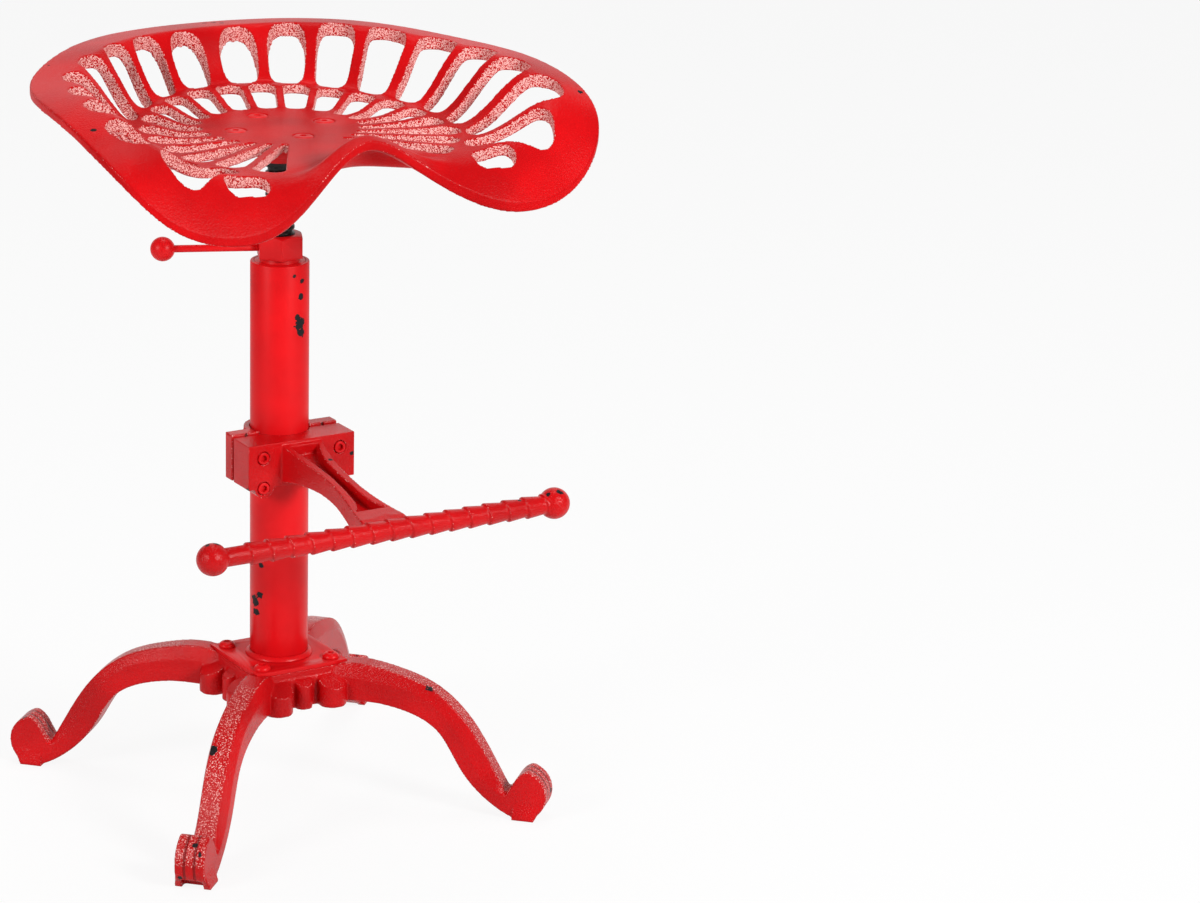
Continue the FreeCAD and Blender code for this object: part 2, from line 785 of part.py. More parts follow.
def reach_at(curve, bearing):
    """How far out a ring lies from the slots' centre, on a bearing from the rear."""
    centre = size("seat_centre_y")
    low, high = curve.FirstParameter, curve.LastParameter
    wanted = bearing % 360

    def bearing_of(parameter):
        p = curve.value(parameter)
        return math.degrees(math.atan2(p.x, p.y - centre)) % 360

    for _ in range(40):
        middle = (low + high) / 2
        if bearing_of(middle) < wanted:
            low = middle
        else:
            high = middle
    p = curve.value(low)
    return math.hypot(p.x, p.y - centre)


def rounded_prism(corners, radii, low, high):
    """An upright prism whose corners are rounded, each by its own radius."""
    count = len(corners)
    edges = []
    marks = []
    for i in range(count):
        before, here, after = corners[i - 1], corners[i], corners[(i + 1) % count]
        a = (before - here).normalize()
        b = (after - here).normalize()
        half = math.acos(a.dot(b)) / 2
        cut = radii[i] / math.tan(half)
        middle = here + (a + b).normalize() * (radii[i] / math.sin(half) - radii[i])
        marks.append((here + a * cut, middle, here + b * cut))
    for i in range(count):
        edges.append(Part.Arc(*marks[i]).toShape())
        edges.append(straight(marks[i][2], marks[(i + 1) % count][0]))
    face = Part.Face(Part.Wire(edges))
    face.translate(V(0, 0, low))
    return face.extrude(V(0, 0, high - low))


def radial_slot(bearing, inner, outer, pitch, rib, low, high):
    """A slot between two radial ribs, its corners rounded to suit its width."""
    centre = V(0, size("seat_centre_y"), 0)
    angle = math.radians(bearing)
    out = V(math.sin(angle), math.cos(angle), 0)
    across = V(math.cos(angle), -math.sin(angle), 0)
    spread = math.tan(math.radians(pitch / 2))
    corners = []
    for reach, hand in ((inner, -1), (outer, -1), (outer, 1), (inner, 1)):
        corners.append(centre + out * reach + across * (hand * (reach * spread - rib / 2)))
    narrow = inner * spread - rib / 2
    wide = outer * spread - rib / 2
    radii = [0.85 * narrow, 0.6 * wide, 0.6 * wide, 0.85 * narrow]
    return rounded_prism(corners, radii, low, high)


def seat_slots():
    """Upright tools for the outer and inner rings of slots."""
    low, high = size("disc_top") - 60, size("disc_top") + 90
    web = seat_ring(lambda rim, web, flange: web)
    flange = seat_ring(lambda rim, web, flange: flange)
    half = size("web_half_width")
    tools = []
    for k in range(1, 10):
        for hand in (1, -1):
            bearing = hand * (k - 0.5) * size("outer_pitch")
            inner = reach_at(web, bearing) + half
            outer = reach_at(flange, bearing)
            tools.append(radial_slot(bearing, inner, outer, size("outer_pitch"),
                                     size("outer_rib"), low, high))
    for hand in (1, -1):
        x, y = hand * 114, -160
        corners = [V(x + a, y + b, 0) for a, b in ((-18, -9), (18, -11), (18, 11), (-18, 9))]
        tools.append(rounded_prism(corners, [8, 10, 10, 8], low, high))
    centre, disc = size("seat_centre_y"), size("disc_radius")
    for k in range(-10, 11):
        bearing = k * size("inner_pitch")
        inward = centre * math.cos(math.radians(bearing))
        inner = math.sqrt(inward ** 2 - centre ** 2 + disc ** 2) - inward
        outer = reach_at(web, bearing) - half
        tools.append(radial_slot(bearing, inner, outer, size("inner_pitch"),
                                 size("inner_rib"), low, high))
    return tools


def seat_pan():
    """The cast seat, pierced and drilled, with dished seats for its screw heads."""
    tools = seat_slots()
    disc_top = size("disc_top")
    head = size("seat_screw_head") / 2
    for place in ring_places(size("seat_screw_radius"), 0, disc_top):
        hole = (size("seat_screw_shank") + size("screw_clearance")) / 2
        base = V(place.Base.x, place.Base.y, disc_top - size("pan_thick") - 1)
        tools.append(Part.makeCylinder(hole, size("pan_thick") + 2, base))
        sink = V(place.Base.x, place.Base.y, disc_top - 3.5)
        tools.append(Part.makeCone(head - 2.5, head + 1.5, 4, sink))
    pan = seat_shell().cut(Part.makeCompound(tools))
    return piece("seat_pan", pan)


def seat_screws():
    master = new_body("one_seat_screw")
    depth = "sizes.pan_thick + sizes.flange_thick + sizes.seat_nut_thick + sizes.screw_stick_out"
    sketch = outline(master, "seat_screw_section", "XZ_Plane", [
        ("0", "-(%s)" % depth),
        ("sizes.seat_screw_shank / 2", "-(%s)" % depth),
        ("sizes.seat_screw_shank / 2", "-sizes.seat_screw_cone"),
        ("sizes.seat_screw_head / 2 - 2.5", "-sizes.seat_screw_cone"),
        ("sizes.seat_screw_head / 2 - 0.2", "-sizes.seat_screw_cone * 0.3"),
        ("sizes.seat_screw_head * 0.3", "sizes.seat_screw_crown"),
        ("0", "sizes.seat_screw_crown"),
    ])
    turn(master, "seat_screw_turned", sketch)
    doc.recompute()
    socket = outline(master, "seat_screw_hexagon", "XY_Plane", hexagon("sizes.seat_screw_socket"))
    pocket(master, "seat_screw_socket_cut", socket, "sizes.socket_depth", "sizes.seat_screw_crown")
    places = ring_places(size("seat_screw_radius"), 0, size("disc_top"))
    return copies("seat_screws", master, places)


def seat_flange():
    """Round plate under the pan, with a boss that is welded round the screw's top."""
    body = new_body("seat_flange")
    bore = "sizes.spindle_diameter / 2"
    under = SPINDLE_TOP + " - sizes.flange_thick"
    sketch = outline(body, "flange_section", "XZ_Plane", [
        (bore, under + " - sizes.flange_boss_rise"),
        ("sizes.flange_boss / 2 - 3", under + " - sizes.flange_boss_rise"),
        ("sizes.flange_boss / 2", under),
        ("sizes.flange_diameter / 2", under),
        ("sizes.flange_diameter / 2", SPINDLE_TOP),
        (bore, SPINDLE_TOP),
    ])
    turn(body, "flange_turned", sketch)
    doc.recompute()
    hole = circle(body, "flange_hole", "XY_Plane", ("sizes.seat_screw_radius", "0"),
                  "sizes.seat_screw_shank + sizes.screw_clearance")
    cut = pocket(body, "flange_hole_cut", hole, "sizes.flange_thick", SPINDLE_TOP)
    polar(body, "flange_holes", cut, 4)
    return keep(body, "seat_flange")


def seat_nuts():
    master = nut("one_seat_nut", "sizes.seat_nut_width", "sizes.seat_screw_shank",
                 "sizes.seat_nut_thick")
    low = worth(SPINDLE_TOP + " - sizes.flange_thick - sizes.seat_nut_thick")
    return copies("seat_nuts", master, ring_places(size("seat_screw_radius"), 0, low))


def clamp_places():
    """The four clamp screws: the axis runs along Y, the head's seat faces -Y."""
    places = []
    along = FreeCAD.Rotation(UP, ALONG_Y)
    for x in (-size("clamp_screw_x"), size("clamp_screw_x")):
        for z in (size("clamp_screw_low"), size("clamp_screw_high")):
            places.append((V(x, 0, z), along))
    return places


def clamp_block():
    """The half of the clamp that is cast with the arms: two lugs and the wall between them."""
    front, back = size("block_front"), size("block_back")
    half, low, high = size("block_half_width"), size("block_bottom"), size("block_top")
    x, z, boss = size("clamp_screw_x"), size("clamp_screw_low"), size("clamp_boss_radius")
    block = Part.makeBox(2 * half, front - back, high - low, V(-half, -front, low))
    for hand in (1, -1):
        lug = Part.makeCylinder(boss, front - back, V(hand * (x - 1), -front, z), ALONG_Y)
        block = block.fuse(lug)
    return block


def arm():
    """The waisted arm from the block to the bar: two ribs on a sunk web."""
    front, high, low = size("block_front"), size("block_top"), size("block_bottom")
    bar_y, bar_z, radius = size("bar_y"), size("bar_height"), size("bar_diameter") / 2
    middle = (front + bar_y) / 2

    def upper(drop):
        return [
            V(-30, -front + 8, high - drop),
            V(-30, -front - 6, high - 4.5 - drop),
            V(-30, -front - 22, high - 8.8 - drop),
            V(-30, -middle + 6, high - 16 - drop),
            V(-30, -bar_y + 34, bar_z + radius + 2.6 - drop),
            V(-30, -bar_y, bar_z + radius - 0.4 - drop),
        ]

    def lower(rise):
        return [
            V(-30, -bar_y, bar_z - radius + 0.8 + rise),
            V(-30, -bar_y + 34, bar_z - 5 + rise),
            V(-30, -middle, low + 4.8 + rise),
            V(-30, -front - 18, low + 6 + rise),
            V(-30, -front + 8, low + 1.5 + rise),
        ]

    def side(top, bottom):
        edges = [
            spline(top),
            straight(top[-1], bottom[0]),
            spline(bottom),
            straight(bottom[-1], top[0]),
        ]
        return Part.Face(Part.Wire(edges)).extrude(V(60, 0, 0))

    def plan(inset, start, end):
        half = [
            V(20 - inset, start, 200),
            V(15 - inset, -front - 18, 200),
            V(10.6 - inset, -middle + 12, 200),
            V(11.2 - inset, -middle - 10, 200),
            V(15.5 - inset, -bar_y + 34, 200),
            V(21 - inset, end, 200),
        ]
        other = [V(-p.x, p.y, p.z) for p in half]
        edges = [spline(half), straight(half[-1], other[-1]), spline(other[::-1]),
                 straight(other[0], half[0])]
        return Part.Face(Part.Wire(edges)).extrude(V(0, 0, 200))

    solid = side(upper(0), lower(0)).common(plan(0, -front + 8, -bar_y + 2))
    hollow_top = side(upper(-20), upper(size("web_drop"))[::-1])
    hollow = hollow_top.common(plan(size("rib_thick"), -front - 3, -bar_y + 26))
    return solid.cut(hollow)


def footrest_bar():
    """The round bar with its stepped twist and a ball on each end."""
    radius, tooth, pitch = size("bar_diameter") / 2, size("bar_tooth"), size("bar_pitch")
    place, ball = size("ball_place"), size("ball_diameter") / 2
    points = [V(-place, 0, 0), V(-place, 0, radius - tooth / 2)]
    count = int(place // pitch)
    for k in range(-count, count):
        points.append(V(k * pitch, 0, radius))
        points.append(V(k * pitch + 0.8, 0, radius - tooth))
    points += [V(place, 0, radius - tooth / 2), V(place, 0, 0)]
    face = Part.Face(Part.makePolygon(points + points[:1]))
    bar = face.revolve(V(0, 0, 0), V(1, 0, 0), 360)
    for hand in (1, -1):
        bar = bar.fuse(Part.makeSphere(ball, V(hand * place, 0, 0)))
    bar.translate(V(0, -size("bar_y"), size("bar_height")))
    return bar


def footrest_casting():
    casting = footrest_bar().fuse(arm()).fuse(clamp_block())
    tube = size("column_outer") / 2 + size("clamp_gap")
    tools = [Part.makeCylinder(tube, 200, V(0, 0, 200))]
    for place, along in clamp_places():
        x, z = place.x, place.z
        front = size("block_front")
        shank = (size("clamp_screw_shank") + size("screw_clearance")) / 2
        tools.append(Part.makeCylinder(shank, 60, V(x, -front - 5, z), ALONG_Y))
        sink = size("clamp_screw_head") / 2 + 0.6
        depth = size("clamp_screw_rise") - size("clamp_head_proud")
        tools.append(Part.makeCylinder(sink, depth + 5, V(x, -front - 5, z), ALONG_Y))
    casting = casting.cut(Part.makeCompound(tools)).removeSplitter()
    return piece("footrest_casting", casting)


def footrest_clamp():
    """The rear saddle: two flat flanges and a half ring round the tube."""
    front, thick, wall = size("saddle_front"), size("saddle_flange"), size("saddle_wall")
    half, low, high = size("block_half_width"), size("block_bottom"), size("block_top")
    tube = size("column_outer") / 2 + size("clamp_gap")
    flange = Part.makeBox(2 * half, thick, high - low, V(-half, -front, low))
    ring = Part.makeCylinder(tube + wall, high - low, V(0, 0, low))
    behind = Part.makeBox(2 * half, half, high - low, V(-half, -front, low))
    saddle = flange.fuse(ring.common(behind))
    tools = [Part.makeCylinder(tube, 200, V(0, 0, 200))]
    hole = (size("clamp_screw_shank") + size("screw_clearance")) / 2
    for place, along in clamp_places():
        tools.append(Part.makeCylinder(hole, 60, V(place.x, -30, place.z), ALONG_Y))
    return piece("footrest_clamp", saddle.cut(Part.makeCompound(tools)).removeSplitter())


def clamp_screws():
    """Socket-head screws, drawn along Z with the head's seat at z = 0 and the shank upwards."""
    master = new_body("one_clamp_screw")
    shank = ("sizes.block_front - sizes.clamp_screw_rise + sizes.clamp_head_proud"
             " - sizes.saddle_front + sizes.saddle_flange + sizes.clamp_nut_thick"
             " + sizes.screw_stick_out")
    sketch = outline(master, "clamp_screw_section", "XZ_Plane", [
        ("0", "-sizes.clamp_screw_rise"),
        ("sizes.clamp_screw_head / 2", "-sizes.clamp_screw_rise"),
        ("sizes.clamp_screw_head / 2", "0"),
        ("sizes.clamp_screw_shank / 2", "0"),
        ("sizes.clamp_screw_shank / 2", shank),
        ("0", shank),
    ])
    turn(master, "clamp_screw_turned", sketch)
    doc.recompute()
    socket = outline(master, "clamp_screw_hexagon", "XY_Plane", hexagon("sizes.clamp_screw_socket"))
    pocket(master, "clamp_screw_socket_cut", socket, "sizes.socket_depth",
           "-sizes.clamp_screw_rise", reverse=True)
    seat = -size("block_front") + size("clamp_screw_rise") - size("clamp_head_proud")
    places = [FreeCAD.Placement(p + V(0, seat, 0), along) for p, along in clamp_places()]
    return copies("clamp_screws", master, places)


def clamp_nuts():
    master = nut("one_clamp_nut", "sizes.clamp_nut_width", "sizes.clamp_screw_shank",
                 "sizes.clamp_nut_thick")
    back = -size("saddle_front") + size("saddle_flange")
    places = [FreeCAD.Placement(p + V(0, back, 0), along) for p, along in clamp_places()]
    return copies("clamp_nuts", master, places)


base_casting()
base_plate()
column_tube()
column_weld()
base_screws()
base_washers_and_nuts()
threaded_bush()
spindle()
guide_bush()
guide_washer_and_screw()
lock_nut()
lock_lever()
lever_knob()
seat_pan()
seat_flange()
seat_screws()
seat_nuts()
footrest_casting()
footrest_clamp()
clamp_screws()
clamp_nuts()
doc.recompute()

for obj in doc.Objects:
    if "Invalid" in obj.State or "Error" in obj.State:
        raise RuntimeError("%s failed: %s" % (obj.Label, obj.State))
for obj in nodes:
    if obj.Shape.isNull() or not obj.Shape.isValid():
        raise RuntimeError("%s has no valid shape" % obj.Label)

os.makedirs("parts", exist_ok=True)
for obj in nodes:
    obj.Shape.exportStep("parts/%s.step" % obj.Label)
    print("%-18s solids %2d volume %9.0f" % (obj.Label, len(obj.Shape.Solids), obj.Shape.Volume))
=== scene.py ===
import math

import bmesh
import bpy
import numpy as np
from mathutils import Matrix, Vector


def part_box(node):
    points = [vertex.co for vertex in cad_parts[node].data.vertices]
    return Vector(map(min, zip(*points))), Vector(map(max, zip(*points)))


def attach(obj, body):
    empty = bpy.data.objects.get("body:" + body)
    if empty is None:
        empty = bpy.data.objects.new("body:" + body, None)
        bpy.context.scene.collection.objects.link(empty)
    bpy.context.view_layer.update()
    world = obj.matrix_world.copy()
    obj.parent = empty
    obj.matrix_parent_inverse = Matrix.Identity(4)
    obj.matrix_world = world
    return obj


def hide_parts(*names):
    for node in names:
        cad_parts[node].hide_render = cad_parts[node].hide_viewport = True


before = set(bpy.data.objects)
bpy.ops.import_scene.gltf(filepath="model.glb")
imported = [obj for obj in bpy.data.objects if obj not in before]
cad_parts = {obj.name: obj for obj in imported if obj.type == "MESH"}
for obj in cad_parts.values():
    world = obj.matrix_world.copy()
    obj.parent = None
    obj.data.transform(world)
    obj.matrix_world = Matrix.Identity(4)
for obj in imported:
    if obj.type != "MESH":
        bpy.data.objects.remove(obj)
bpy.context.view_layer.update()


# Base: one iron casting, four legs that end in scrolls round a square hub with a lobed skirt.
# It is cast in sand, so its edges are soft and its skin is grainy under the red paint, and the
# paint is rubbed thin on the edges and chipped down to black in places. Pale-pink specks on its
# edges, ridges and scroll fronts stand for that rubbed paint and for painted glints.

class Signal:
    """A socket in a node tree; arithmetic on it adds the Math nodes."""

    def __init__(self, tree, socket=None):
        self.tree = tree
        self.socket = socket

    def node(self, kind, settings=None, sockets=None, output=0):
        """Add a node: its settings first, then the values or links of its sockets."""
        made = self.tree.nodes.new(kind)
        for name, value in (settings or {}).items():
            setattr(made, name, value)
        for name, value in (sockets or {}).items():
            if isinstance(value, Signal):
                self.tree.links.new(value.socket, made.inputs[name])
            else:
                made.inputs[name].default_value = value
        return Signal(self.tree, made.outputs[output] if made.outputs else None)

    def math(self, operation, *others):
        return self.node("ShaderNodeMath", {"operation": operation}, dict(enumerate((self, *others))))

    def __add__(self, other):
        return self.math("ADD", other)

    def __sub__(self, other):
        return self.math("SUBTRACT", other)

    def __rsub__(self, other):
        return self.node("ShaderNodeMath", {"operation": "SUBTRACT"}, {0: other, 1: self})

    def __mul__(self, other):
        return self.math("MULTIPLY", other)

    def __truediv__(self, other):
        return self.math("DIVIDE", other)

    def __lt__(self, other):
        return self.math("LESS_THAN", other)

    def __gt__(self, other):
        return self.math("GREATER_THAN", other)

    def __abs__(self):
        return self.math("ABSOLUTE")

    __radd__ = __add__
    __rmul__ = __mul__

    def axis(self, letter):
        """One axis of a place."""
        return self.node("ShaderNodeSeparateXYZ", {}, {0: self}, letter)

    def limited(self):
        """The same value, kept between 0 and 1."""
        return self.math("MAXIMUM", 0.0).math("MINIMUM", 1.0)

    def step(self, low, high):
        """0 below low, 1 above high, and a smooth rise between them."""
        return self.node("ShaderNodeMapRange", {"interpolation_type": "SMOOTHSTEP"},
                         {"Value": self, "From Min": low, "From Max": high})

    def blend(self, under, over):
        """The colour under where this mask is 0, and over where it is 1."""
        return self.node("ShaderNodeMix", {"data_type": "RGBA"}, {0: self, 6: under, 7: over}, 2)


def noise(place, per_metre, detail):
    return place.node("ShaderNodeTexNoise", {}, {"Vector": place, "Scale": per_metre, "Detail": detail})


def shaded(colour, share):
    """A colour brought down to a share of itself."""
    return tuple(share * part for part in colour[:3]) + (1,)


def empty_material(name):
    """A new material without nodes, and a signal to add them from."""
    material = bpy.data.materials.new(name)
    material.use_nodes = True
    material.node_tree.nodes.clear()
    return material, Signal(material.node_tree)


def red_paint(name, red, grain, gloss, chips=(), wear_and_glint_share=0.0, carved=None, shine=0.18):
    """Red paint over iron. grain is its relief in mm, chips are places in mm with their reach. Where a
    piece is marked, pale-pink specks show over a darker red: paint rubbed thin on its edges, and painted
    glints on its grainy faces; the share given after chips says how far. carved adds drawn grooves,
    painted dark inside as painted shade."""
    # Pale pink for rubbed paint and for painted glints, black for chips.
    wear_and_glint_pink, chip_black = (0.84, 0.45, 0.42, 1), (0.008, 0.008, 0.009, 1)
    groove_depth, chip_depth, specks_from = 0.001, 0.0002, 0.86
    material, start = empty_material(name)
    place = start.node("ShaderNodeTexCoord", output="Object")
    cloud = noise(place, 14, 3)
    sand = noise(place, 640, 3)
    speck = noise(place, 980, 2)
    deep_red = shaded(red, 0.72)
    colour = cloud.step(0.3, 0.7).blend(deep_red, red)
    relief = sand * (grain / 1000) + speck * (grain / 2500)
    rough = gloss + sand * 0.12
    # Marked places are painted darker red with pale-pink specks: paint rubbed thin on edges, and painted
    # glints on the grain.
    if wear_and_glint_share:
        wear_and_glints = place.node("ShaderNodeAttribute", {"attribute_name": "wear_and_glints"}, output="Fac")
        pale_specks = (speck * 0.8 + sand * 0.2 + wear_and_glints * wear_and_glint_share - specks_from).step(-0.02, 0.09)
        colour = (wear_and_glints * 0.8).blend(colour, deep_red)
        colour = pale_specks.blend(colour, wear_and_glint_pink)
        rough = rough + pale_specks * 0.2
    if carved:
        sunk = carved(place)
        # Inside the grooves the red is painted much darker, a painted shade; the groove itself is sunk in
        # the bump.
        colour = (sunk * 0.7).blend(colour, shaded(red, 0.25))
        relief = relief - sunk * groove_depth
    if chips:
        chipped = None
        for x, y, z, reach in chips:
            away = place.node("ShaderNodeVectorMath", {"operation": "DISTANCE"},
                              {0: place, 1: (x / 1000, y / 1000, z / 1000)}, "Value")
            near = 1 - away * (1000 / reach)
            chipped = chipped.math("MAXIMUM", near) if chipped else near
        ragged = noise(place, 330, 4)
        chipped = (chipped.math("MAXIMUM", 0.0) * 0.8 + ragged - 0.5).step(0.3, 0.34)
        colour = chipped.blend(colour, chip_black)
        relief = relief - chipped * chip_depth
        rough = rough + chipped * 0.2
    bump = place.node("ShaderNodeBump", {}, {"Height": relief, "Strength": 1.0, "Distance": 1.0})
    shader = place.node("ShaderNodeBsdfPrincipled", {}, {
        "Base Color": colour, "Roughness": rough, "Normal": bump, "Specular IOR Level": shine,
    })
    place.node("ShaderNodeOutputMaterial", {}, {"Surface": shader})
    return material


def placed(name, data):
    """A new object in the scene, at the origin."""
    piece = bpy.data.objects.new(name, data)
    bpy.context.scene.collection.objects.link(piece)
    return piece


def baked(piece):
    """Turn a piece's modifiers into plain mesh."""
    graph = bpy.context.evaluated_depsgraph_get()
    mesh = bpy.data.meshes.new_from_object(piece.evaluated_get(graph))
    piece.modifiers.clear()
    piece.data = mesh


def copied(node, name):
    """A merged copy of a solid's mesh, as a new piece."""
    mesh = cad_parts[node].data.copy()
    shell = bmesh.new()
    shell.from_mesh(mesh)
    bmesh.ops.remove_doubles(shell, verts=shell.verts, dist=1e-6)
    bmesh.ops.dissolve_limit(shell, angle_limit=math.radians(0.4), verts=shell.verts, edges=shell.edges)
    shell.to_mesh(mesh)
    shell.free()
    return placed(name, mesh)


def closed_piece(name, shell):
    """A new piece from a bmesh that is drawn in mm, with its faces turned outwards."""
    bmesh.ops.recalc_face_normals(shell, faces=shell.faces)
    bmesh.ops.scale(shell, vec=(0.001, 0.001, 0.001), verts=shell.verts)
    mesh = bpy.data.meshes.new(name)
    shell.to_mesh(mesh)
    shell.free()
    return placed(name, mesh)


def joined(piece, other):
    """Add another piece's mesh to a piece; the casting's skin then closes over both."""
    shell = bmesh.new()
    shell.from_mesh(piece.data)
    shell.from_mesh(other.data)
    shell.to_mesh(piece.data)
    shell.free()
    bpy.data.objects.remove(other)


def cut_out(piece, tools, solver):
    """Cut the tools' volume out of a piece and drop them."""
    cut = piece.modifiers.new("cut", "BOOLEAN")
    cut.operation = "DIFFERENCE"
    cut.solver = solver
    cut.object = tools
    baked(piece)
    bpy.data.objects.remove(tools)


def softened(piece, skin, rounds, most):
    """Give a closed piece a casting's soft edges, with no more than most triangles. skin is the
    size of its cells in mm, rounds is how often it is smoothed."""
    cells = piece.modifiers.new("skin", "REMESH")
    cells.mode = "VOXEL"
    cells.voxel_size = skin / 1000
    soft = piece.modifiers.new("soft", "SMOOTH")
    soft.factor = 0.5
    soft.iterations = rounds
    baked(piece)
    triangles = sum(len(face.vertices) - 2 for face in piece.data.polygons)
    if triangles > most:
        thinner = piece.modifiers.new("thinner", "DECIMATE")
        thinner.ratio = most / triangles
        thinner.use_collapse_triangulate = True
        baked(piece)
    piece.data.shade_smooth()
    return piece


def points_of(mesh):
    """The places of a mesh's points, in metres, a row for each."""
    points = np.zeros(len(mesh.vertices) * 3)
    mesh.vertices.foreach_get("co", points)
    return points.reshape(-1, 3)


def mark_wear_and_glints(piece, glint_faces):
    """Store where pale specks go: on edges that bend outwards, as rubbed paint and painted highlights, and
    on the faces that the given function picks, as painted glints.
    """
    least_bend, bend_gain, most_on_edges = 0.15, 7, 0.95
    mesh = piece.data
    count = len(mesh.vertices)
    points = points_of(mesh)
    normals = np.zeros(count * 3)
    mesh.vertex_normals.foreach_get("vector", normals)
    normals = normals.reshape(-1, 3)
    ends = np.zeros(len(mesh.edges) * 2, int)
    mesh.edges.foreach_get("vertices", ends)
    a, b = ends.reshape(-1, 2).T
    along = points[b] - points[a]
    along /= np.linalg.norm(along, axis=1)[:, None] + 1e-12
    near = np.bincount(a, minlength=count) + np.bincount(b, minlength=count)
    bend = np.bincount(a, -(normals[a] * along).sum(1), count)
    bend += np.bincount(b, (normals[b] * along).sum(1), count)
    bend /= np.maximum(near, 1)
    edge = np.clip(bend * bend_gain - least_bend, 0, 1)
    marks = np.maximum(edge * most_on_edges, glint_faces(points * 1000, normals))
    stored = mesh.attributes.new("wear_and_glints", "FLOAT", "POINT")
    stored.data.foreach_set("value", marks.astype(np.float32))


def fade(values, full, none):
    """1 at full and beyond, 0 at none and beyond, smooth between them."""
    share = np.clip((values - none) / (full - none), 0, 1)
    return share * share * (3 - 2 * share)


def painted(piece, material):
    """Leave a piece with this one material."""
    piece.data.materials.clear()
    piece.data.materials.append(material)


def fitted(piece, body, slot, material, *nodes):
    """Give a finished piece its paint, its body and the solids that it stands for."""
    painted(piece, material)
    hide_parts(*nodes)
    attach(piece, body)


def leg_glint_faces(points, normals):
    """The legs' upward ridges and the fronts of their scrolls, which get pale specks as painted glints,
    unlike their sides.
    """
    side = np.abs(np.abs(points[:, 0]) - np.abs(points[:, 1])) / math.sqrt(2)
    out = (np.abs(points[:, 0]) + np.abs(points[:, 1])) / math.sqrt(2)
    across = np.abs(normals[:, 0] * np.sign(points[:, 0]) - normals[:, 1] * np.sign(points[:, 1]))
    ridge = fade(across / math.sqrt(2), 0.2, 0.5)
    past_hub, on_leg = fade(out, 90, 65), fade(side, 12, 14)
    upward = fade(normals[:, 2], 0.1, -0.2)
    return 0.88 * ridge * past_hub * on_leg * upward


def scroll_bands(place):
    """Two grooves that part the round front of each scroll into three bands; they are sunk in the bump and
    painted dark inside as shade.
    """
    band_edge = 0.0042
    x, y, z = abs(place.axis("X")), abs(place.axis("Y")), place.axis("Z")
    side = (x - y) * math.sqrt(0.5)
    out = (x + y) * math.sqrt(0.5)
    groove = 1 - abs(abs(side) - band_edge).step(0.0005, 0.0014)
    on_scroll, above_toe = out.step(0.2015, 0.2035), z.step(0.009, 0.011)
    on_front = (out * 0.6 + z).step(0.1385, 0.1425)
    return groove * on_scroll * above_toe * on_front


def level_box(start, stop, one, other):
    """Four corners of a level outline, from start to stop along X and one to other along Y."""
    return (start, one), (stop, one), (stop, other), (start, other)


def leg_block(shell, leg, foot, low, top, high):
    """A closed block between a low and a high outline, turned to one of the four legs."""
    corners = [shell.verts.new((x, y, low)) for x, y in foot]
    corners += [shell.verts.new((x, y, high)) for x, y in top]
    for face in (0, 1, 2, 3), (4, 5, 6, 7), (0, 1, 5, 4), (1, 2, 6, 5), (2, 3, 7, 6), (3, 0, 4, 7):
        shell.faces.new([corners[j] for j in face])
    turn = Matrix.Rotation(math.pi / 4 + leg * math.pi / 2, 3, "Z")
    bmesh.ops.rotate(shell, cent=(0, 0, 0), matrix=turn, verts=corners)


cast_red = (0.60, 0.0035, 0.0055, 1)
base_paint = red_paint("base_casting_paint", cast_red, 0.5, 0.18, wear_and_glint_share=0.35, carved=scroll_bands, chips=(
    (-114, -105, 91, 7), (-107, -107, 98, 4), (89.6, -98.9, 106, 5), (-170, -158, 11, 3.5),
    (171, -162, 22, 3.5), (-158, -170, 32, 3.5), (-159, -163, 38, 3.5),
    (-166, 150, 43, 4.5), (-45, -56, 116, 3.5), (47, -55, 116, 3.5),
))
# The toe splays to both sides of a recess. All sizes are in mm, along a leg that points to +X.
recess_start, recess_stop, recess_half, recess_roof = 220, 245, 9, 8.5
heel, sole_tip, roof_tip, toe_tip, toe_top = 206.9, 225.6, 230, 234.4, 17
sole_half, shank_half, roof_half = 15.5, 12, 10
hollows = bmesh.new()
toes = bmesh.new()
for leg in range(4):
    recess = level_box(recess_start, recess_stop, -recess_half, recess_half)
    leg_block(hollows, leg, recess, -2, recess, recess_roof)
    for hand in (1, -1):
        leg_block(toes, leg, level_box(heel, sole_tip, hand * recess_half, hand * sole_half), 0,
                  level_box(heel, toe_tip, hand * recess_half, hand * shank_half), toe_top)
    leg_block(toes, leg, level_box(heel, roof_tip, roof_half, -roof_half), recess_roof,
              level_box(heel, toe_tip, roof_half, -roof_half), toe_top)
base = copied("base_casting", "cast_base")
cut_out(base, closed_piece("toe_hollows", hollows), "EXACT")
joined(base, closed_piece("toes", toes))
softened(base, 1.0, 3, 180000)
mark_wear_and_glints(base, leg_glint_faces)
fitted(base, "stand", "cast_paint", base_paint, "base_casting")


# Plate, weld and column: a square steel plate is screwed down on the casting, and the steel tube
# is welded to its middle. They are smooth beside the castings, under the same red paint.

crease = math.radians(40)


def eased(node, name, width):
    """A copy of a turned or sawn piece with its sharp edges eased by width in mm."""
    piece = copied(node, name)
    ease = piece.modifiers.new("ease", "BEVEL")
    ease.width = width / 1000
    ease.segments = 2
    ease.limit_method = "ANGLE"
    ease.angle_limit = math.radians(35)
    baked(piece)
    piece.data.shade_smooth()
    piece.data.set_sharp_from_angle(angle=crease)
    return piece


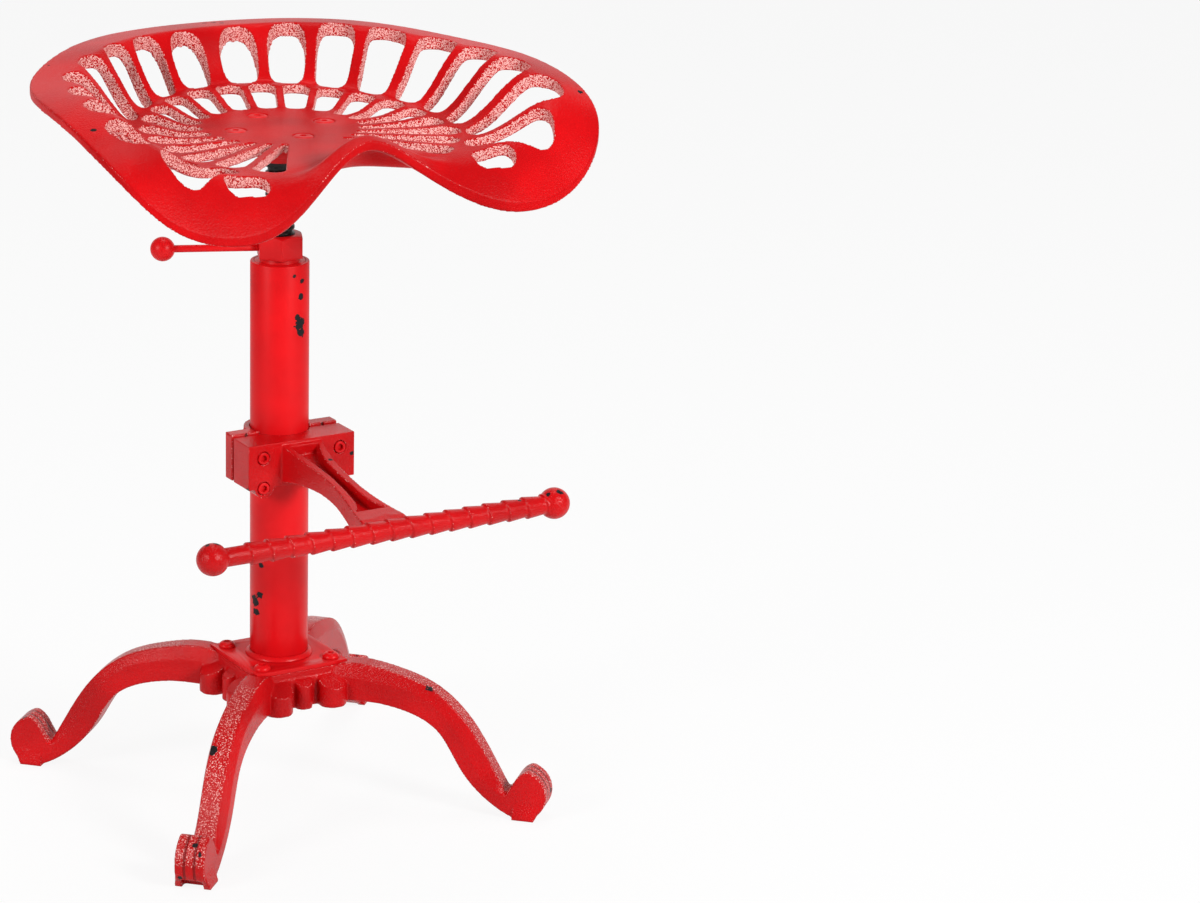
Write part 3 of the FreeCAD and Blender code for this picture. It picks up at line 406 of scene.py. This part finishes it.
steel_red = (0.72, 0.005, 0.008, 1)
plate_paint = red_paint("plate_paint", steel_red, 0.025, 0.3)
plate = eased("base_plate", "plate_with_eased_edges", 0.5)
fitted(plate, "stand", "steel_paint", plate_paint, "base_plate")
weld_paint = red_paint("weld_paint", steel_red, 0.12, 0.25)
weld = softened(copied("column_weld", "weld_bead"), 0.6, 4, 40000)
fitted(weld, "stand", "steel_paint", weld_paint, "column_weld")
tube_paint = red_paint("column_paint", steel_red, 0.02, 0.28, shine=0.16, chips=(
    (8.5, -22.6, 447, 3.5), (1, -24, 452, 2.5), (7.4, -23, 434, 5), (6.5, -23.2, 411, 9),
    (8, -22.8, 404, 6), (3.3, -24, 417, 4), (-24, -3, 172, 8), (-23.7, -4.5, 162, 6),
    (-21.9, -10, 204, 4), (-22, -9, 178, 5),
))
fitted(eased("column_tube", "column", 0.8), "stand", "steel_paint", tube_paint, "column_tube")


# Base screws: four button-head screws through the plate's corners, with a hexagon socket each.
# Washers and nuts hold them under the hub, out of sight.

def wrapped(shell, rings):
    """Faces between rings of equal count, with both ends closed."""
    rows = [[shell.verts.new(point) for point in ring] for ring in rings]
    for low, high in zip(rows, rows[1:]):
        for k in range(len(low)):
            shell.faces.new((low[k], low[k - 1], high[k - 1], high[k]))
    shell.faces.new(rows[0])
    shell.faces.new(rows[-1])


def turned_screw(name, profile, socket, deep, sides=48):
    """A closed screw round Z, in mm. profile runs up from its foot to the mouth of its hexagon
    socket, which is socket wide across its flats."""
    def ring(reach, height, hexagonal=False):
        points = []
        for k in range(sides):
            angle = 2 * math.pi * k / sides
            off_flat = (angle + math.pi / 6) % (math.pi / 3) - math.pi / 6
            wide = reach / math.cos(off_flat) if hexagonal else reach
            points.append((wide * math.cos(angle), wide * math.sin(angle), height))
        return points

    mouth = profile[-1][1]
    rings = [ring(reach, height) for reach, height in profile]
    for wider, down in (0.15, 0), (0, 0.3), (0, deep):
        rings.append(ring(socket / 2 + wider, mouth - down, hexagonal=True))
    screw = bmesh.new()
    wrapped(screw, rings)
    return closed_piece(name, screw)


def open_tree(name, inputs):
    """A geometry tree with named inputs; gives its inputs, and what grown needs to run it."""
    tree = bpy.data.node_groups.new(name, "GeometryNodeTree")
    tree.interface.new_socket("Geometry", in_out="INPUT", socket_type="NodeSocketGeometry")
    tree.interface.new_socket("Geometry", in_out="OUTPUT", socket_type="NodeSocketGeometry")
    keys = {}
    for label, kind in inputs.items():
        made = tree.interface.new_socket(label, in_out="INPUT", socket_type="NodeSocket" + kind)
        keys[label] = made.identifier
    entry = tree.nodes.new("NodeGroupInput")
    given = {label: Signal(tree, entry.outputs[label]) for label in ["Geometry", *inputs]}
    return given, (tree, keys)


def close_tree(shape, material):
    shape = shape.node("GeometryNodeSetMaterial", {}, {"Geometry": shape, "Material": material})
    shape.node("NodeGroupOutput", {}, {"Geometry": shape})


def grown(piece, opened, **values):
    """Run a geometry tree on a piece and keep the plain mesh."""
    tree, keys = opened
    modifier = piece.modifiers.new(tree.name, "NODES")
    modifier.node_group = tree
    for label, value in values.items():
        modifier[keys[label]] = value
    baked(piece)
    piece.data.shade_smooth()
    piece.data.set_sharp_from_angle(angle=crease)


given, screw_circle = open_tree("screws_on_a_circle", {
    "Count": "Int", "Radius": "Float", "First_angle": "Float", "Height": "Float", "Material": "Material",
})
circle = given["Count"].node("GeometryNodeMeshCircle", {}, {
    "Vertices": given["Count"], "Radius": given["Radius"],
})
turned = circle.node("ShaderNodeCombineXYZ", {}, {"Z": given["First_angle"]})
lifted = circle.node("ShaderNodeCombineXYZ", {}, {"Z": given["Height"]})
spots = circle.node("GeometryNodeTransform", {}, {
    "Geometry": circle, "Rotation": turned, "Translation": lifted,
})
screws = circle.node("GeometryNodeInstanceOnPoints", {}, {"Points": spots, "Instance": given["Geometry"]})
screws = circle.node("GeometryNodeRealizeInstances", {}, {"Geometry": screws})
close_tree(screws, given["Material"])

screw_paint = red_paint("screw_paint", steel_red, 0.04, 0.25)
plate_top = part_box("base_plate")[1].z
base_screws = turned_screw("button_screws", (
    (0.0005, -24.7), (4, -24.7), (4, 0), (6.7, 0), (7, 0.3), (7, 1.3), (6.6, 2.3), (5.8, 3.2), (4.7, 4.0),
    (3.6, 4.35), (3.2, 4.4),
), 5, 2.6)
grown(base_screws, screw_circle, Count=4, Radius=0.04535, First_angle=math.pi / 4, Height=plate_top,
      Material=screw_paint)
fitted(base_screws, "stand", "steel_paint", screw_paint, "base_screws")


# Washers, nuts and the guide at the foot of the height screw: zinc-plated steel and plain plastic,
# hidden under the hub and the seat or inside the tube, and left as they are turned.

def plain_finish(name, colour, metal, rough, grain):
    """An unpainted metal or plastic with a slight cloud in its colour. grain is its relief in mm."""
    material, start = empty_material(name)
    place = start.node("ShaderNodeTexCoord", output="Object")
    cloud = noise(place, 90, 3)
    fine = noise(place, 900, 2)
    tint = (cloud * 0.6 + fine * 0.4).step(0.35, 0.65).blend(shaded(colour, 0.7), colour)
    relief = fine * (grain / 1000)
    bump = place.node("ShaderNodeBump", {}, {"Height": relief, "Strength": 1.0, "Distance": 1.0})
    shader = place.node("ShaderNodeBsdfPrincipled", {}, {
        "Base Color": tint, "Roughness": rough + cloud * 0.15, "Normal": bump, "Metallic": metal,
    })
    place.node("ShaderNodeOutputMaterial", {}, {"Surface": shader})
    return material


zinc = plain_finish("zinc_plating", (0.5, 0.5, 0.51, 1), 1.0, 0.3, 0.02)
for node in ("base_washers", "base_nuts", "seat_nuts", "clamp_nuts", "guide_washer", "guide_screw"):
    painted(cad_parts[node], zinc)
guide_plastic = plain_finish("guide_plastic", (0.75, 0.74, 0.7, 1), 0.0, 0.45, 0.02)
painted(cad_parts["guide_bush"], guide_plastic)


# Height screw: a long black steel screw with a coarse right-hand thread of 6 mm pitch. It is
# welded into the flange under the seat and runs in the bush that is pressed into the tube.

def flat_grid(start, rows, sides):
    """A grid to bend round an axis: the grid, how far along it a point is, its angle round, and a
    mask that is 0 on the first and last row, which close the ends."""
    grid = start.node("GeometryNodeMeshGrid", {}, {
        "Size X": 1.0, "Size Y": 1.0, "Vertices X": rows, "Vertices Y": sides + 1,
    })
    where = grid.node("GeometryNodeInputPosition")
    across = where.axis("X") + 0.5
    around = (where.axis("Y") + 0.5) * (2 * math.pi)
    share = ((across * (rows - 1) - 1) / (rows - 3)).limited()
    inside = (across > 0.5 / (rows - 1)) * (across < 1 - 0.5 / (rows - 1))
    return grid, share, around, inside


def bent(grid, x, y, z):
    """The grid's points moved to their places, with its seam and its ends closed."""
    moved = grid.node("ShaderNodeCombineXYZ", {}, {"X": x, "Y": y, "Z": z})
    shape = grid.node("GeometryNodeSetPosition", {}, {"Geometry": grid, "Position": moved})
    return grid.node("GeometryNodeMergeByDistance", {}, {"Geometry": shape, "Distance": 0.000001})


given, threaded_rod = open_tree("threaded_rod", {
    "Low": "Float", "Foot": "Float", "Neck": "Float", "High": "Float", "Radius": "Float",
    "Journal": "Float", "Pitch": "Float", "Depth": "Float", "Material": "Material",
})
grid, share, around, inside = flat_grid(given["Low"], rows=720, sides=48)
height = given["Low"] + (given["High"] - given["Low"]) * share
turns = (height - given["Pitch"] * around / (2 * math.pi)) / given["Pitch"]
# As shares of the pitch: half of each crest is 0.17 wide, and the flank beside it 0.13.
groove = ((abs(turns.math("FRACT") - 0.5) - 0.17) / 0.13).limited()
threaded = given["Radius"] - given["Depth"] * groove * (height < given["Neck"])
past_journal = height > given["Foot"]
reach = (past_journal * threaded + (1 - past_journal) * given["Journal"]) * inside
rod = bent(grid, reach * around.math("COSINE"), reach * around.math("SINE"), height)
close_tree(rod, given["Material"])

black_steel = plain_finish("black_oiled_steel", (0.03, 0.029, 0.028, 1), 0.9, 0.3, 0.03)
journal_length, neck_length = 0.0245, 0.024
low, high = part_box("spindle")
spindle = placed("height_screw", bpy.data.meshes.new("height_screw"))
grown(spindle, threaded_rod, Low=low.z, Foot=low.z + journal_length, Neck=high.z - neck_length, High=high.z,
      Radius=0.012, Journal=0.007, Pitch=0.006, Depth=0.0019, Material=black_steel)
outward = bmesh.new()
outward.from_mesh(spindle.data)
bmesh.ops.recalc_face_normals(outward, faces=outward.faces)
outward.to_mesh(spindle.data)
outward.free()
fitted(spindle, "seat", "black_steel", black_steel, "spindle")


# Bush and lock nut: a turned steel bush stands a little out of the tube, and a hexagon nut with
# turned-off corners sits on it. A rod with a round knob is screwed into the nut's side. All of
# them are red like the tube.

nut_paint = red_paint("nut_paint", steel_red, 0.02, 0.3)
for node, name, body, edge in (
        ("threaded_bush", "collared_bush", "stand", 0.4), ("lock_nut", "hexagon_lock_nut", "lock", 0.5),
        ("lock_lever", "lever_rod", "lock", 0.3), ("lever_knob", "round_knob", "lock", 0.3)):
    fitted(eased(node, name, edge), body, "steel_paint", nut_paint, node)


# Seat: a dished iron casting, pierced by two rings of slots between its ribs and rolled down over
# the thighs at the front, with a raised pommel in the middle. Four screws with low oval heads hold
# it to a round flange on the height screw.

# The right half's rim from the rear to the front: x, y, the dish's climb and the rim's roll in mm,
# and where the slots' inner ring ends and the rim begins, as shares of the way out.
rim_x, rim_y, climb, roll, web_share, flange_share = np.array((
    (0, 169, 56, 4, 0.66, 0.828), (75, 153, 57, 4, 0.66, 0.83), (146, 105, 56, 4, 0.64, 0.84),
    (197, 47, 50, 5, 0.61, 0.845), (220, -59, 48, 8, 0.58, 0.852), (207, -153, 28, 22, 0.575, 0.865),
    (174, -174, 12, 37, 0.60, 0.857), (115, -184, 6, 41, 0.72, 0.88), (44, -161, 16, 19, 0.74, 0.92),
    (0, -152, 26, 7, 0.70, 0.93),
)).T
fan_y, disc_z, terrace = -23.0, 572.0, 13.0
rim_reach = np.hypot(rim_x, rim_y - fan_y)
web_reach, flange_reach = web_share * rim_reach, flange_share * rim_reach
# The flat disc ends and the terrace is fully up at these shares of the way to the web. The rim's
# roll begins this far inside its edge, or at this share of the way out where that is less.
disc_end, terrace_up = 0.68, 0.95
roll_width, roll_share = 60, 0.35


def seat_height(reach):
    """The seat's top at the stations, reach being measured from where the slots fan out."""
    shelf = terrace * np.cos(np.arctan2(rim_x, rim_y - fan_y) / 2) ** 4
    height = disc_z + shelf * fade(reach, terrace_up * web_reach, disc_end * web_reach)
    height += (climb - shelf) * fade(reach, flange_reach, web_reach)
    edge = np.minimum(roll_width, rim_reach * roll_share)
    return height - roll * np.maximum(0, (reach - rim_reach + edge) / edge) ** 2


def seat_ring(reach, depth=0.0, drop=0.0, sides=360):
    """A smooth closed ring through the stations of both halves, under the top by depth."""
    height = seat_height(reach)
    slope = height - seat_height(reach - 1)
    height = height - depth * np.hypot(1, slope) - drop
    share = reach / rim_reach
    half = np.stack([rim_x * share, fan_y + (rim_y - fan_y) * share, height], 1)
    edge = np.stack([rim_x, rim_y, seat_height(rim_reach)], 1)
    mirror = np.array((-1, 1, 1))
    points = np.concatenate([half, half[-2:0:-1] * mirror])
    edge = np.concatenate([edge, edge[-2:0:-1] * mirror])
    # A closed cubic curve: bend is its second derivative at each station, gaps are its steps.
    gaps = np.linalg.norm(np.roll(edge, -1, 0) - edge, axis=1)
    count = len(points)
    pull = np.zeros((count, count))
    load = np.zeros((count, 3))
    for i in range(count):
        before, after, last = gaps[i - 1], gaps[i], (i + 1) % count
        pull[i, i - 1], pull[i, i], pull[i, last] = before, 2 * (before + after), after
        load[i] = 6 * ((points[last] - points[i]) / after - (points[i] - points[i - 1]) / before)
    bend = np.linalg.solve(pull, load)
    times = np.concatenate([[0], np.cumsum(gaps)])
    at = np.linspace(0, times[-1], sides, endpoint=False)
    first = np.searchsorted(times, at, side="right") - 1
    last = (first + 1) % count
    wide = gaps[first][:, None]
    a = (times[first + 1] - at)[:, None] / wide
    b = 1 - a
    curved = (a ** 3 - a) * bend[first] + (b ** 3 - b) * bend[last]
    return a * points[first] + b * points[last] + curved * wide ** 2 / 6


# The pan is 8 mm thick out to the web, 11.5 mm where the rim begins and 7 mm at its edge.
disc_wall, rim_wall, edge_wall = 8.0, 11.5, 7.0
web_rings, slot_rings, rim_rings = 8, 12, 8
spread = [web_reach * disc_end + k / web_rings * (1 - disc_end) * web_reach for k in range(web_rings)]
spread += [web_reach + k / slot_rings * (flange_reach - web_reach) for k in range(slot_rings)]
spread += [flange_reach + k / rim_rings * (rim_reach - flange_reach) for k in range(rim_rings + 1)]
thick = [disc_wall] * web_rings
thick += [disc_wall + k / slot_rings * (rim_wall - disc_wall) for k in range(slot_rings)]
thick += [rim_wall - k / rim_rings * (rim_wall - edge_wall) for k in range(rim_rings)]
under = [seat_ring(reach, depth) for reach, depth in zip(spread, thick)]
under.append(seat_ring(rim_reach, drop=edge_wall))
pan = bmesh.new()
wrapped(pan, under + [seat_ring(reach) for reach in spread[::-1]])
seat = closed_piece("pierced_seat", pan)


def rounded(corners, radii, steps=8):
    """A closed outline whose corners are rounded, each by its own radius."""
    outline = []
    for i, (here, radius) in enumerate(zip(corners, radii)):
        a, b = corners[i - 1] - here, corners[(i + 1) % len(corners)] - here
        a, b = a / np.linalg.norm(a), b / np.linalg.norm(b)
        half = math.acos(a @ b) / 2
        middle = here + (a + b) / np.linalg.norm(a + b) * radius / math.sin(half)
        start, stop = (here + way * radius / math.tan(half) - middle for way in (a, b))
        for k in range(steps + 1):
            way = start * (steps - k) + stop * k
            outline.append(middle + way / np.linalg.norm(way) * radius)
    return outline


def upright_tool(tools, outline):
    """A tool with this outline that passes through the whole pan."""
    wrapped(tools, [[(x, y, z) for x, y in outline] for z in (disc_z - 60, disc_z + 90)])


def slot(tools, bearing, inner, outer, pitch, rib, skew=0.0):
    """An upright tool for a slot between two ribs, skewed about its own middle."""
    turn, lean = math.radians(bearing), math.radians(skew)
    out = np.array((math.sin(turn), math.cos(turn)))
    across = np.array((math.cos(turn), -math.sin(turn)))
    grow = math.tan(math.radians(pitch / 2))
    ends = [(reach, reach * grow - rib / 2) for reach in (inner, outer)]
    corners = [out * reach + across * (hand * half) for (reach, half), hand in
               ((ends[0], -1), (ends[1], -1), (ends[1], 1), (ends[0], 1))]
    pivot = out * (inner + outer) / 2
    leant = np.array(((math.cos(lean), -math.sin(lean)), (math.sin(lean), math.cos(lean))))
    corners = [pivot + leant @ (corner - pivot) + (0, fan_y) for corner in corners]
    inner_round, outer_round = 0.85 * ends[0][1], 0.75 * ends[1][1]
    upright_tool(tools, rounded(corners, (inner_round, outer_round, outer_round, inner_round)))


def reach_on(reach, bearing):
    """How far out a ring lies on a bearing from the rear."""
    x, y = seat_ring(reach, sides=1440).T[:2]
    bearings = np.degrees(np.arctan2(x, y - fan_y))
    order = np.argsort(bearings)
    return np.interp(bearing, bearings[order], np.hypot(x, y - fan_y)[order], period=360)


def slot_wall_glints(points, normals):
    """The upright walls of the slots, where pale specks on the cast grain are painted glints."""
    x, y = points[:, 0], points[:, 1] - fan_y
    out = np.hypot(x, y) / reach_on(rim_reach, np.degrees(np.arctan2(x, y)))
    return 1.14 * fade(np.abs(normals[:, 2]), 0.3, 0.5) * fade(out, 0.92, 0.96)


tools = bmesh.new()
# The outer ring has nine slots on each side. They draw closer together towards the front, where
# they also reach further into the rim, and the last three lean.
outer_pairs, leaning, lean_step = 9, 3, 5
first_bearing, outer_pitch, closing, outer_rib = 9.1, 16.45, 0.38, 9.4
shortest, longer, longest, web_gap = 0.9, 0.065, 1.12, 0.5
for k in range(outer_pairs):
    for hand in (1, -1):
        bearing = hand * (first_bearing + k * (outer_pitch - closing / 2 * k))
        start = reach_on(web_reach, bearing)
        stop = start + min(shortest + longer * k, longest) * (reach_on(flange_reach, bearing) - start)
        lean = hand * lean_step * max(0, k + leaning + 1 - outer_pairs)
        slot(tools, bearing, start + web_gap, stop, outer_pitch - closing * k, outer_rib, lean)
# A small hole stands alone at the front of each thigh.
thigh_x, thigh_y, thigh_hole = 109, -155, ((-18, -9), (18, -11), (18, 11), (-18, 9))
for hand in (1, -1):
    corners = [np.array((hand * thigh_x + x, thigh_y + y)) for x, y in thigh_hole]
    upright_tool(tools, rounded(corners, (8, 10, 10, 8)))
# The inner ring runs from the flat disc, which is round about the column, nearly to the web.
inner_pitch, inner_rib, disc_radius, web_wall = 14.4, 6.5, 64, 4
for k in range(-10, 11):
    bearing = inner_pitch * k
    inward = fan_y * math.cos(math.radians(bearing))
    start = math.sqrt(inward ** 2 - fan_y ** 2 + disc_radius ** 2) - inward
    slot(tools, bearing, start, reach_on(web_reach, bearing) - web_wall, inner_pitch, inner_rib)
# Four countersunk holes for the screws.
screws_out, sink = 40, ((4.2, -10), (4.2, -3.5), (6, -3.5), (10, 0.5))
round_steps = [k * math.pi / 24 for k in range(48)]
for k in range(4):
    x, y = screws_out * math.cos(k * math.pi / 2), screws_out * math.sin(k * math.pi / 2)
    wrapped(tools, [[(x + reach * math.cos(step), y + reach * math.sin(step), disc_z + z)
                     for step in round_steps] for reach, z in sink])
cut_out(seat, closed_piece("slot_tools", tools), "MANIFOLD")
softened(seat, 1.0, 3, 195000)
mark_wear_and_glints(seat, slot_wall_glints)
seat_paint = red_paint("seat_paint", cast_red, 0.35, 0.26, shine=0.06, wear_and_glint_share=0.35, chips=(
    (11, 157, 625, 3.5), (18, 154, 625, 3.5), (22, 147, 626, 3.5), (-167, 77, 623, 3), (-209, -94, 609, 4),
    (213, -114, 603, 5),
))
fitted(seat, "seat", "cast_paint", seat_paint, "seat_pan")
flange_paint = red_paint("flange_paint", steel_red, 0.04, 0.3)
fitted(eased("seat_flange", "seat_flange_plate", 0.5), "seat", "steel_paint", flange_paint, "seat_flange")

seat_screws = turned_screw("oval_head_screws", (
    (0.0005, -22), (4, -22), (4, -3.3), (6, -3.3), (8.2, -1.1), (8.3, -0.8), (7.4, -0.2), (5.6, 0.25),
    (3.6, 0.4), (3.2, 0.4),
), 5, 2.6)
grown(seat_screws, screw_circle, Count=4, Radius=screws_out / 1000, First_angle=0.0,
      Height=disc_z / 1000, Material=screw_paint)
fitted(seat_screws, "seat", "steel_paint", screw_paint, "seat_screws")


# Footrest: an iron casting in one, the clamp's front block, a waisted arm with two ribs, and a
# stepped bar with a ball on each end. A second casting closes the clamp behind the tube.

def arm_sides(points, normals):
    """The arm's ribs and the bar get pale specks on the sand's grain, painted glints; the clamp's faces are
    dressed.
    """
    sides = fade(np.abs(normals[:, 0]), 0.7, 0.4) * fade(np.abs(points[:, 0]), 22, 30)
    bar = fade(points[:, 1], -168, -160)
    return np.maximum(0.5 * sides * fade(points[:, 1], -60, -45), 0.3 * bar)


# The bar's rings rise over a short run and fall away over the rest of their pitch, and they lean.
# Before the first one the bar is at its lowest.
given, ringed_bar = open_tree("ringed_bar", {
    "Reach": "Float", "Radius": "Float", "Tooth": "Float", "Pitch": "Float", "First": "Float",
    "Run": "Float", "Lean": "Float", "Y": "Float", "Z": "Float", "Material": "Material",
})
grid, share, around, inside = flat_grid(given["Reach"], rows=1500, sides=48)
along = given["Reach"] * (share * 2 - 1)
level = along + given["Radius"] * around.math("SINE") * given["Lean"] + given["First"]
past = (level / given["Pitch"]).math("FRACT") * given["Pitch"]
rise = past / given["Run"] - 1
fall = (given["Run"] - past) / (given["Pitch"] - given["Run"])
tooth = given["Tooth"] * rise.math("MINIMUM", fall)
reach = (given["Radius"] + tooth * (level > 0.0) - given["Tooth"] * (level < 0.0)) * inside
forward, upward = reach * around.math("COSINE"), reach * around.math("SINE")
close_tree(bent(grid, along, given["Y"] - forward, given["Z"] + upward), given["Material"])

rest_paint = red_paint("footrest_paint", cast_red, 0.45, 0.18, wear_and_glint_share=0.35, chips=(
    (155, -191, 294, 4.5), (146, -188, 292, 3), (-150, -184, 296, 4.5), (-158, -184, 295, 3.5),
    (-122, -184, 292, 2.5), (-48, -38, 281, 3.5), (-48, -30, 278, 3), (46, -40, 300, 3),
    (10, -70, 308, 3), (120, -186, 291, 2.5),
))
bar_y, bar_z = -0.1845, 0.2828
bar = placed("ringed_bar", bpy.data.meshes.new("ringed_bar"))
grown(bar, ringed_bar, Reach=0.147, Radius=0.0093, Tooth=0.0018, Pitch=0.01776, First=0.1237,
      Run=0.0008, Lean=math.tan(math.radians(10)), Y=bar_y, Z=bar_z, Material=rest_paint)
# The solid's own bar is drawn in to a core, so that the leaning rings show instead of its own.
solid_radius, solid_reach, core_radius = 0.0092, 0.144, 0.0069
rest = copied("footrest_casting", "footrest")
points = points_of(rest.data)
off = points[:, 1:] - (bar_y, bar_z)
wide = np.linalg.norm(off, axis=1)
plain = (wide < solid_radius) & (np.abs(points[:, 0]) < solid_reach)
drawn_in = np.minimum(wide, core_radius) / (wide + 1e-9)
points[plain, 1:] = (bar_y, bar_z) + off[plain] * drawn_in[plain, None]
rest.data.vertices.foreach_set("co", points.ravel())
joined(rest, bar)
softened(rest, 0.7, 2, 160000)
mark_wear_and_glints(rest, arm_sides)
fitted(rest, "footrest", "cast_paint", rest_paint, "footrest_casting")

# The saddle's two ears are 5 mm thicker than the solid's, and its top stands at 320 mm.
ear_start, ear_front, ear_growth, shoulder, saddle_top = 0.029, -0.004, 0.005, 0.31, 0.320
saddle = copied("footrest_clamp", "clamp_saddle")
points = points_of(saddle.data)
points[(np.abs(points[:, 0]) > ear_start) & (points[:, 1] > ear_front), 1] += ear_growth
points[points[:, 2] > shoulder, 2] = saddle_top
saddle.data.vertices.foreach_set("co", points.ravel())
softened(saddle, 0.8, 3, 60000)
mark_wear_and_glints(saddle, arm_sides)
fitted(saddle, "footrest", "cast_paint", rest_paint, "footrest_clamp")


# Clamp screws: four socket-head screws from the front, sunk in the block's bosses.
# They pass beside the tube into nuts behind the saddle.

given, screw_rows = open_tree("screws_in_two_rows", {
    "Apart": "Float", "Rise": "Float", "Seat": "Float", "Middle": "Float", "Material": "Material",
})
corners = given["Apart"].node("GeometryNodeMeshGrid", {}, {
    "Size X": given["Apart"], "Size Y": given["Rise"], "Vertices X": 2, "Vertices Y": 2,
})
centre = corners.node("ShaderNodeCombineXYZ", {}, {"Y": given["Seat"], "Z": given["Middle"]})
upright = corners.node("GeometryNodeTransform", {}, {
    "Geometry": corners, "Translation": centre, "Rotation": (math.pi / 2, 0, 0),
})
screws = corners.node("GeometryNodeInstanceOnPoints", {}, {
    "Points": upright, "Instance": given["Geometry"], "Rotation": (math.pi / 2, 0, 0),
})
screws = corners.node("GeometryNodeRealizeInstances", {}, {"Geometry": screws})
close_tree(screws, given["Material"])

clamp_screws = turned_screw("socket_head_screws", (
    (0.0005, -44), (3, -44), (3, 0), (4.7, 0), (5, 0.3), (5, 5.2), (4.8, 5.8), (4.3, 6), (3.3, 6),
), 5, 3)
grown(clamp_screws, screw_rows, Apart=0.07, Rise=0.0256, Seat=-0.035, Middle=0.2942, Material=screw_paint)
fitted(clamp_screws, "footrest", "steel_paint", screw_paint, "clamp_screws")


# Studio: a round pale floor under a white room, with soft lamps in front of, beside and above the
# stool. The floor and the room look white to the camera without more light on the stool.

def ray_masks(start):
    """Masks for what the camera sees itself, in a reflection, and through something clear."""
    return [start.node("ShaderNodeLightPath", output=kind)
            for kind in ("Is Camera Ray", "Is Glossy Ray", "Is Transmission Ray")]


floor_paint, start = empty_material("pale_floor")
seen, mirrored, through = ray_masks(start)
matt = start.node("ShaderNodeBsdfDiffuse", {}, {"Color": (0.8, 0.8, 0.8, 1)})
white = start.node("ShaderNodeEmission", {}, {"Color": (1, 1, 1, 1), "Strength": 1.0})
share = seen * 0.9 + (mirrored + through) * 0.4
surface = start.node("ShaderNodeMixShader", {}, {0: share, 1: matt, 2: white})
start.node("ShaderNodeOutputMaterial", {}, {"Surface": surface})

floor_reach, floor_z = 20, -0.0006
floor_mesh = bpy.data.meshes.new("floor")
edge = [(floor_reach * math.cos(k * math.pi / 32), floor_reach * math.sin(k * math.pi / 32), floor_z)
        for k in range(64)]
floor_mesh.from_pydata(edge, [], [list(range(64))])
floor_mesh.materials.append(floor_paint)
placed("floor", floor_mesh)

# For reflections the room is white only behind the stool and dim elsewhere, because a white room
# all round veils the red paint.
dim, behind_x, behind_y = 0.24, 0.531, 0.847
world = bpy.data.worlds.new("white_room")
bpy.context.scene.world = world
world.use_nodes = True
world.node_tree.nodes.clear()
air = Signal(world.node_tree)
seen, mirrored, through = ray_masks(air)
way = air.node("ShaderNodeTexCoord", output="Generated")
behind = air.node("ShaderNodeVectorMath", {"operation": "DOT_PRODUCT"},
                  {0: way, 1: (behind_x, behind_y, 0.0)}, "Value")
white_share = (seen + (mirrored + through) * behind.step(0.62, 0.86)).math("MINIMUM", 1.0)
glow = air.node("ShaderNodeBackground", {}, {
    "Color": (1, 1, 1, 1), "Strength": dim + white_share * (1 - dim),
})
air.node("ShaderNodeOutputWorld", {}, {"Surface": glow})


def soft_lamp(name, place, aim, wide, power):
    """A square lamp that shines from place to aim."""
    light = bpy.data.lights.new(name, "AREA")
    light.size = wide
    light.energy = power
    lamp = placed(name, light)
    lamp.location = place
    lamp.rotation_euler = (Vector(aim) - Vector(place)).to_track_quat("-Z", "Y").to_euler()


soft_lamp("front_lamp", (1.0, -3.0, 1.9), (0, 0, 0.35), 0.9, 100)
soft_lamp("left_lamp", (-2.8, -0.6, 1.5), (0, 0, 0.35), 0.9, 46)
soft_lamp("top_lamp", (0.4, 0.6, 3.0), (0, 0, 0.4), 1.2, 28)

# The camera stands where the photograph's was: its angles round, up and tilted, the height that it
# aims at, its distance, how far it is moved sideways, and its focal length in the photograph's pixels.
azimuth, elevation, roll = math.radians(-32.08), math.radians(17.32), math.radians(1.51)
aim_z, distance, sideways = 0.29696, 3.49568, 0.26437
focal_pixels, photo_width, sensor = 4240.23, 1200, 36
back = Vector((math.sin(azimuth) * math.cos(elevation), -math.cos(azimuth) * math.cos(elevation),
               math.sin(elevation)))
level = (-back).cross(Vector((0, 0, 1))).normalized()
above = level.cross(-back)
right = level * math.cos(roll) + above * math.sin(roll)
up = above * math.cos(roll) - level * math.sin(roll)
eye = Vector((0, 0, aim_z)) + distance * back + sideways * right
camera_data = bpy.data.cameras.new("camera")
camera_data.sensor_width = sensor
camera_data.sensor_fit = "HORIZONTAL"
camera_data.lens = sensor * focal_pixels / photo_width
camera = placed("camera", camera_data)
camera.matrix_world = Matrix((
    (right.x, up.x, back.x, eye.x), (right.y, up.y, back.y, eye.y), (right.z, up.z, back.z, eye.z),
    (0, 0, 0, 1),
))
bpy.context.scene.camera = camera
bpy.context.scene.view_settings.view_transform = "Standard"
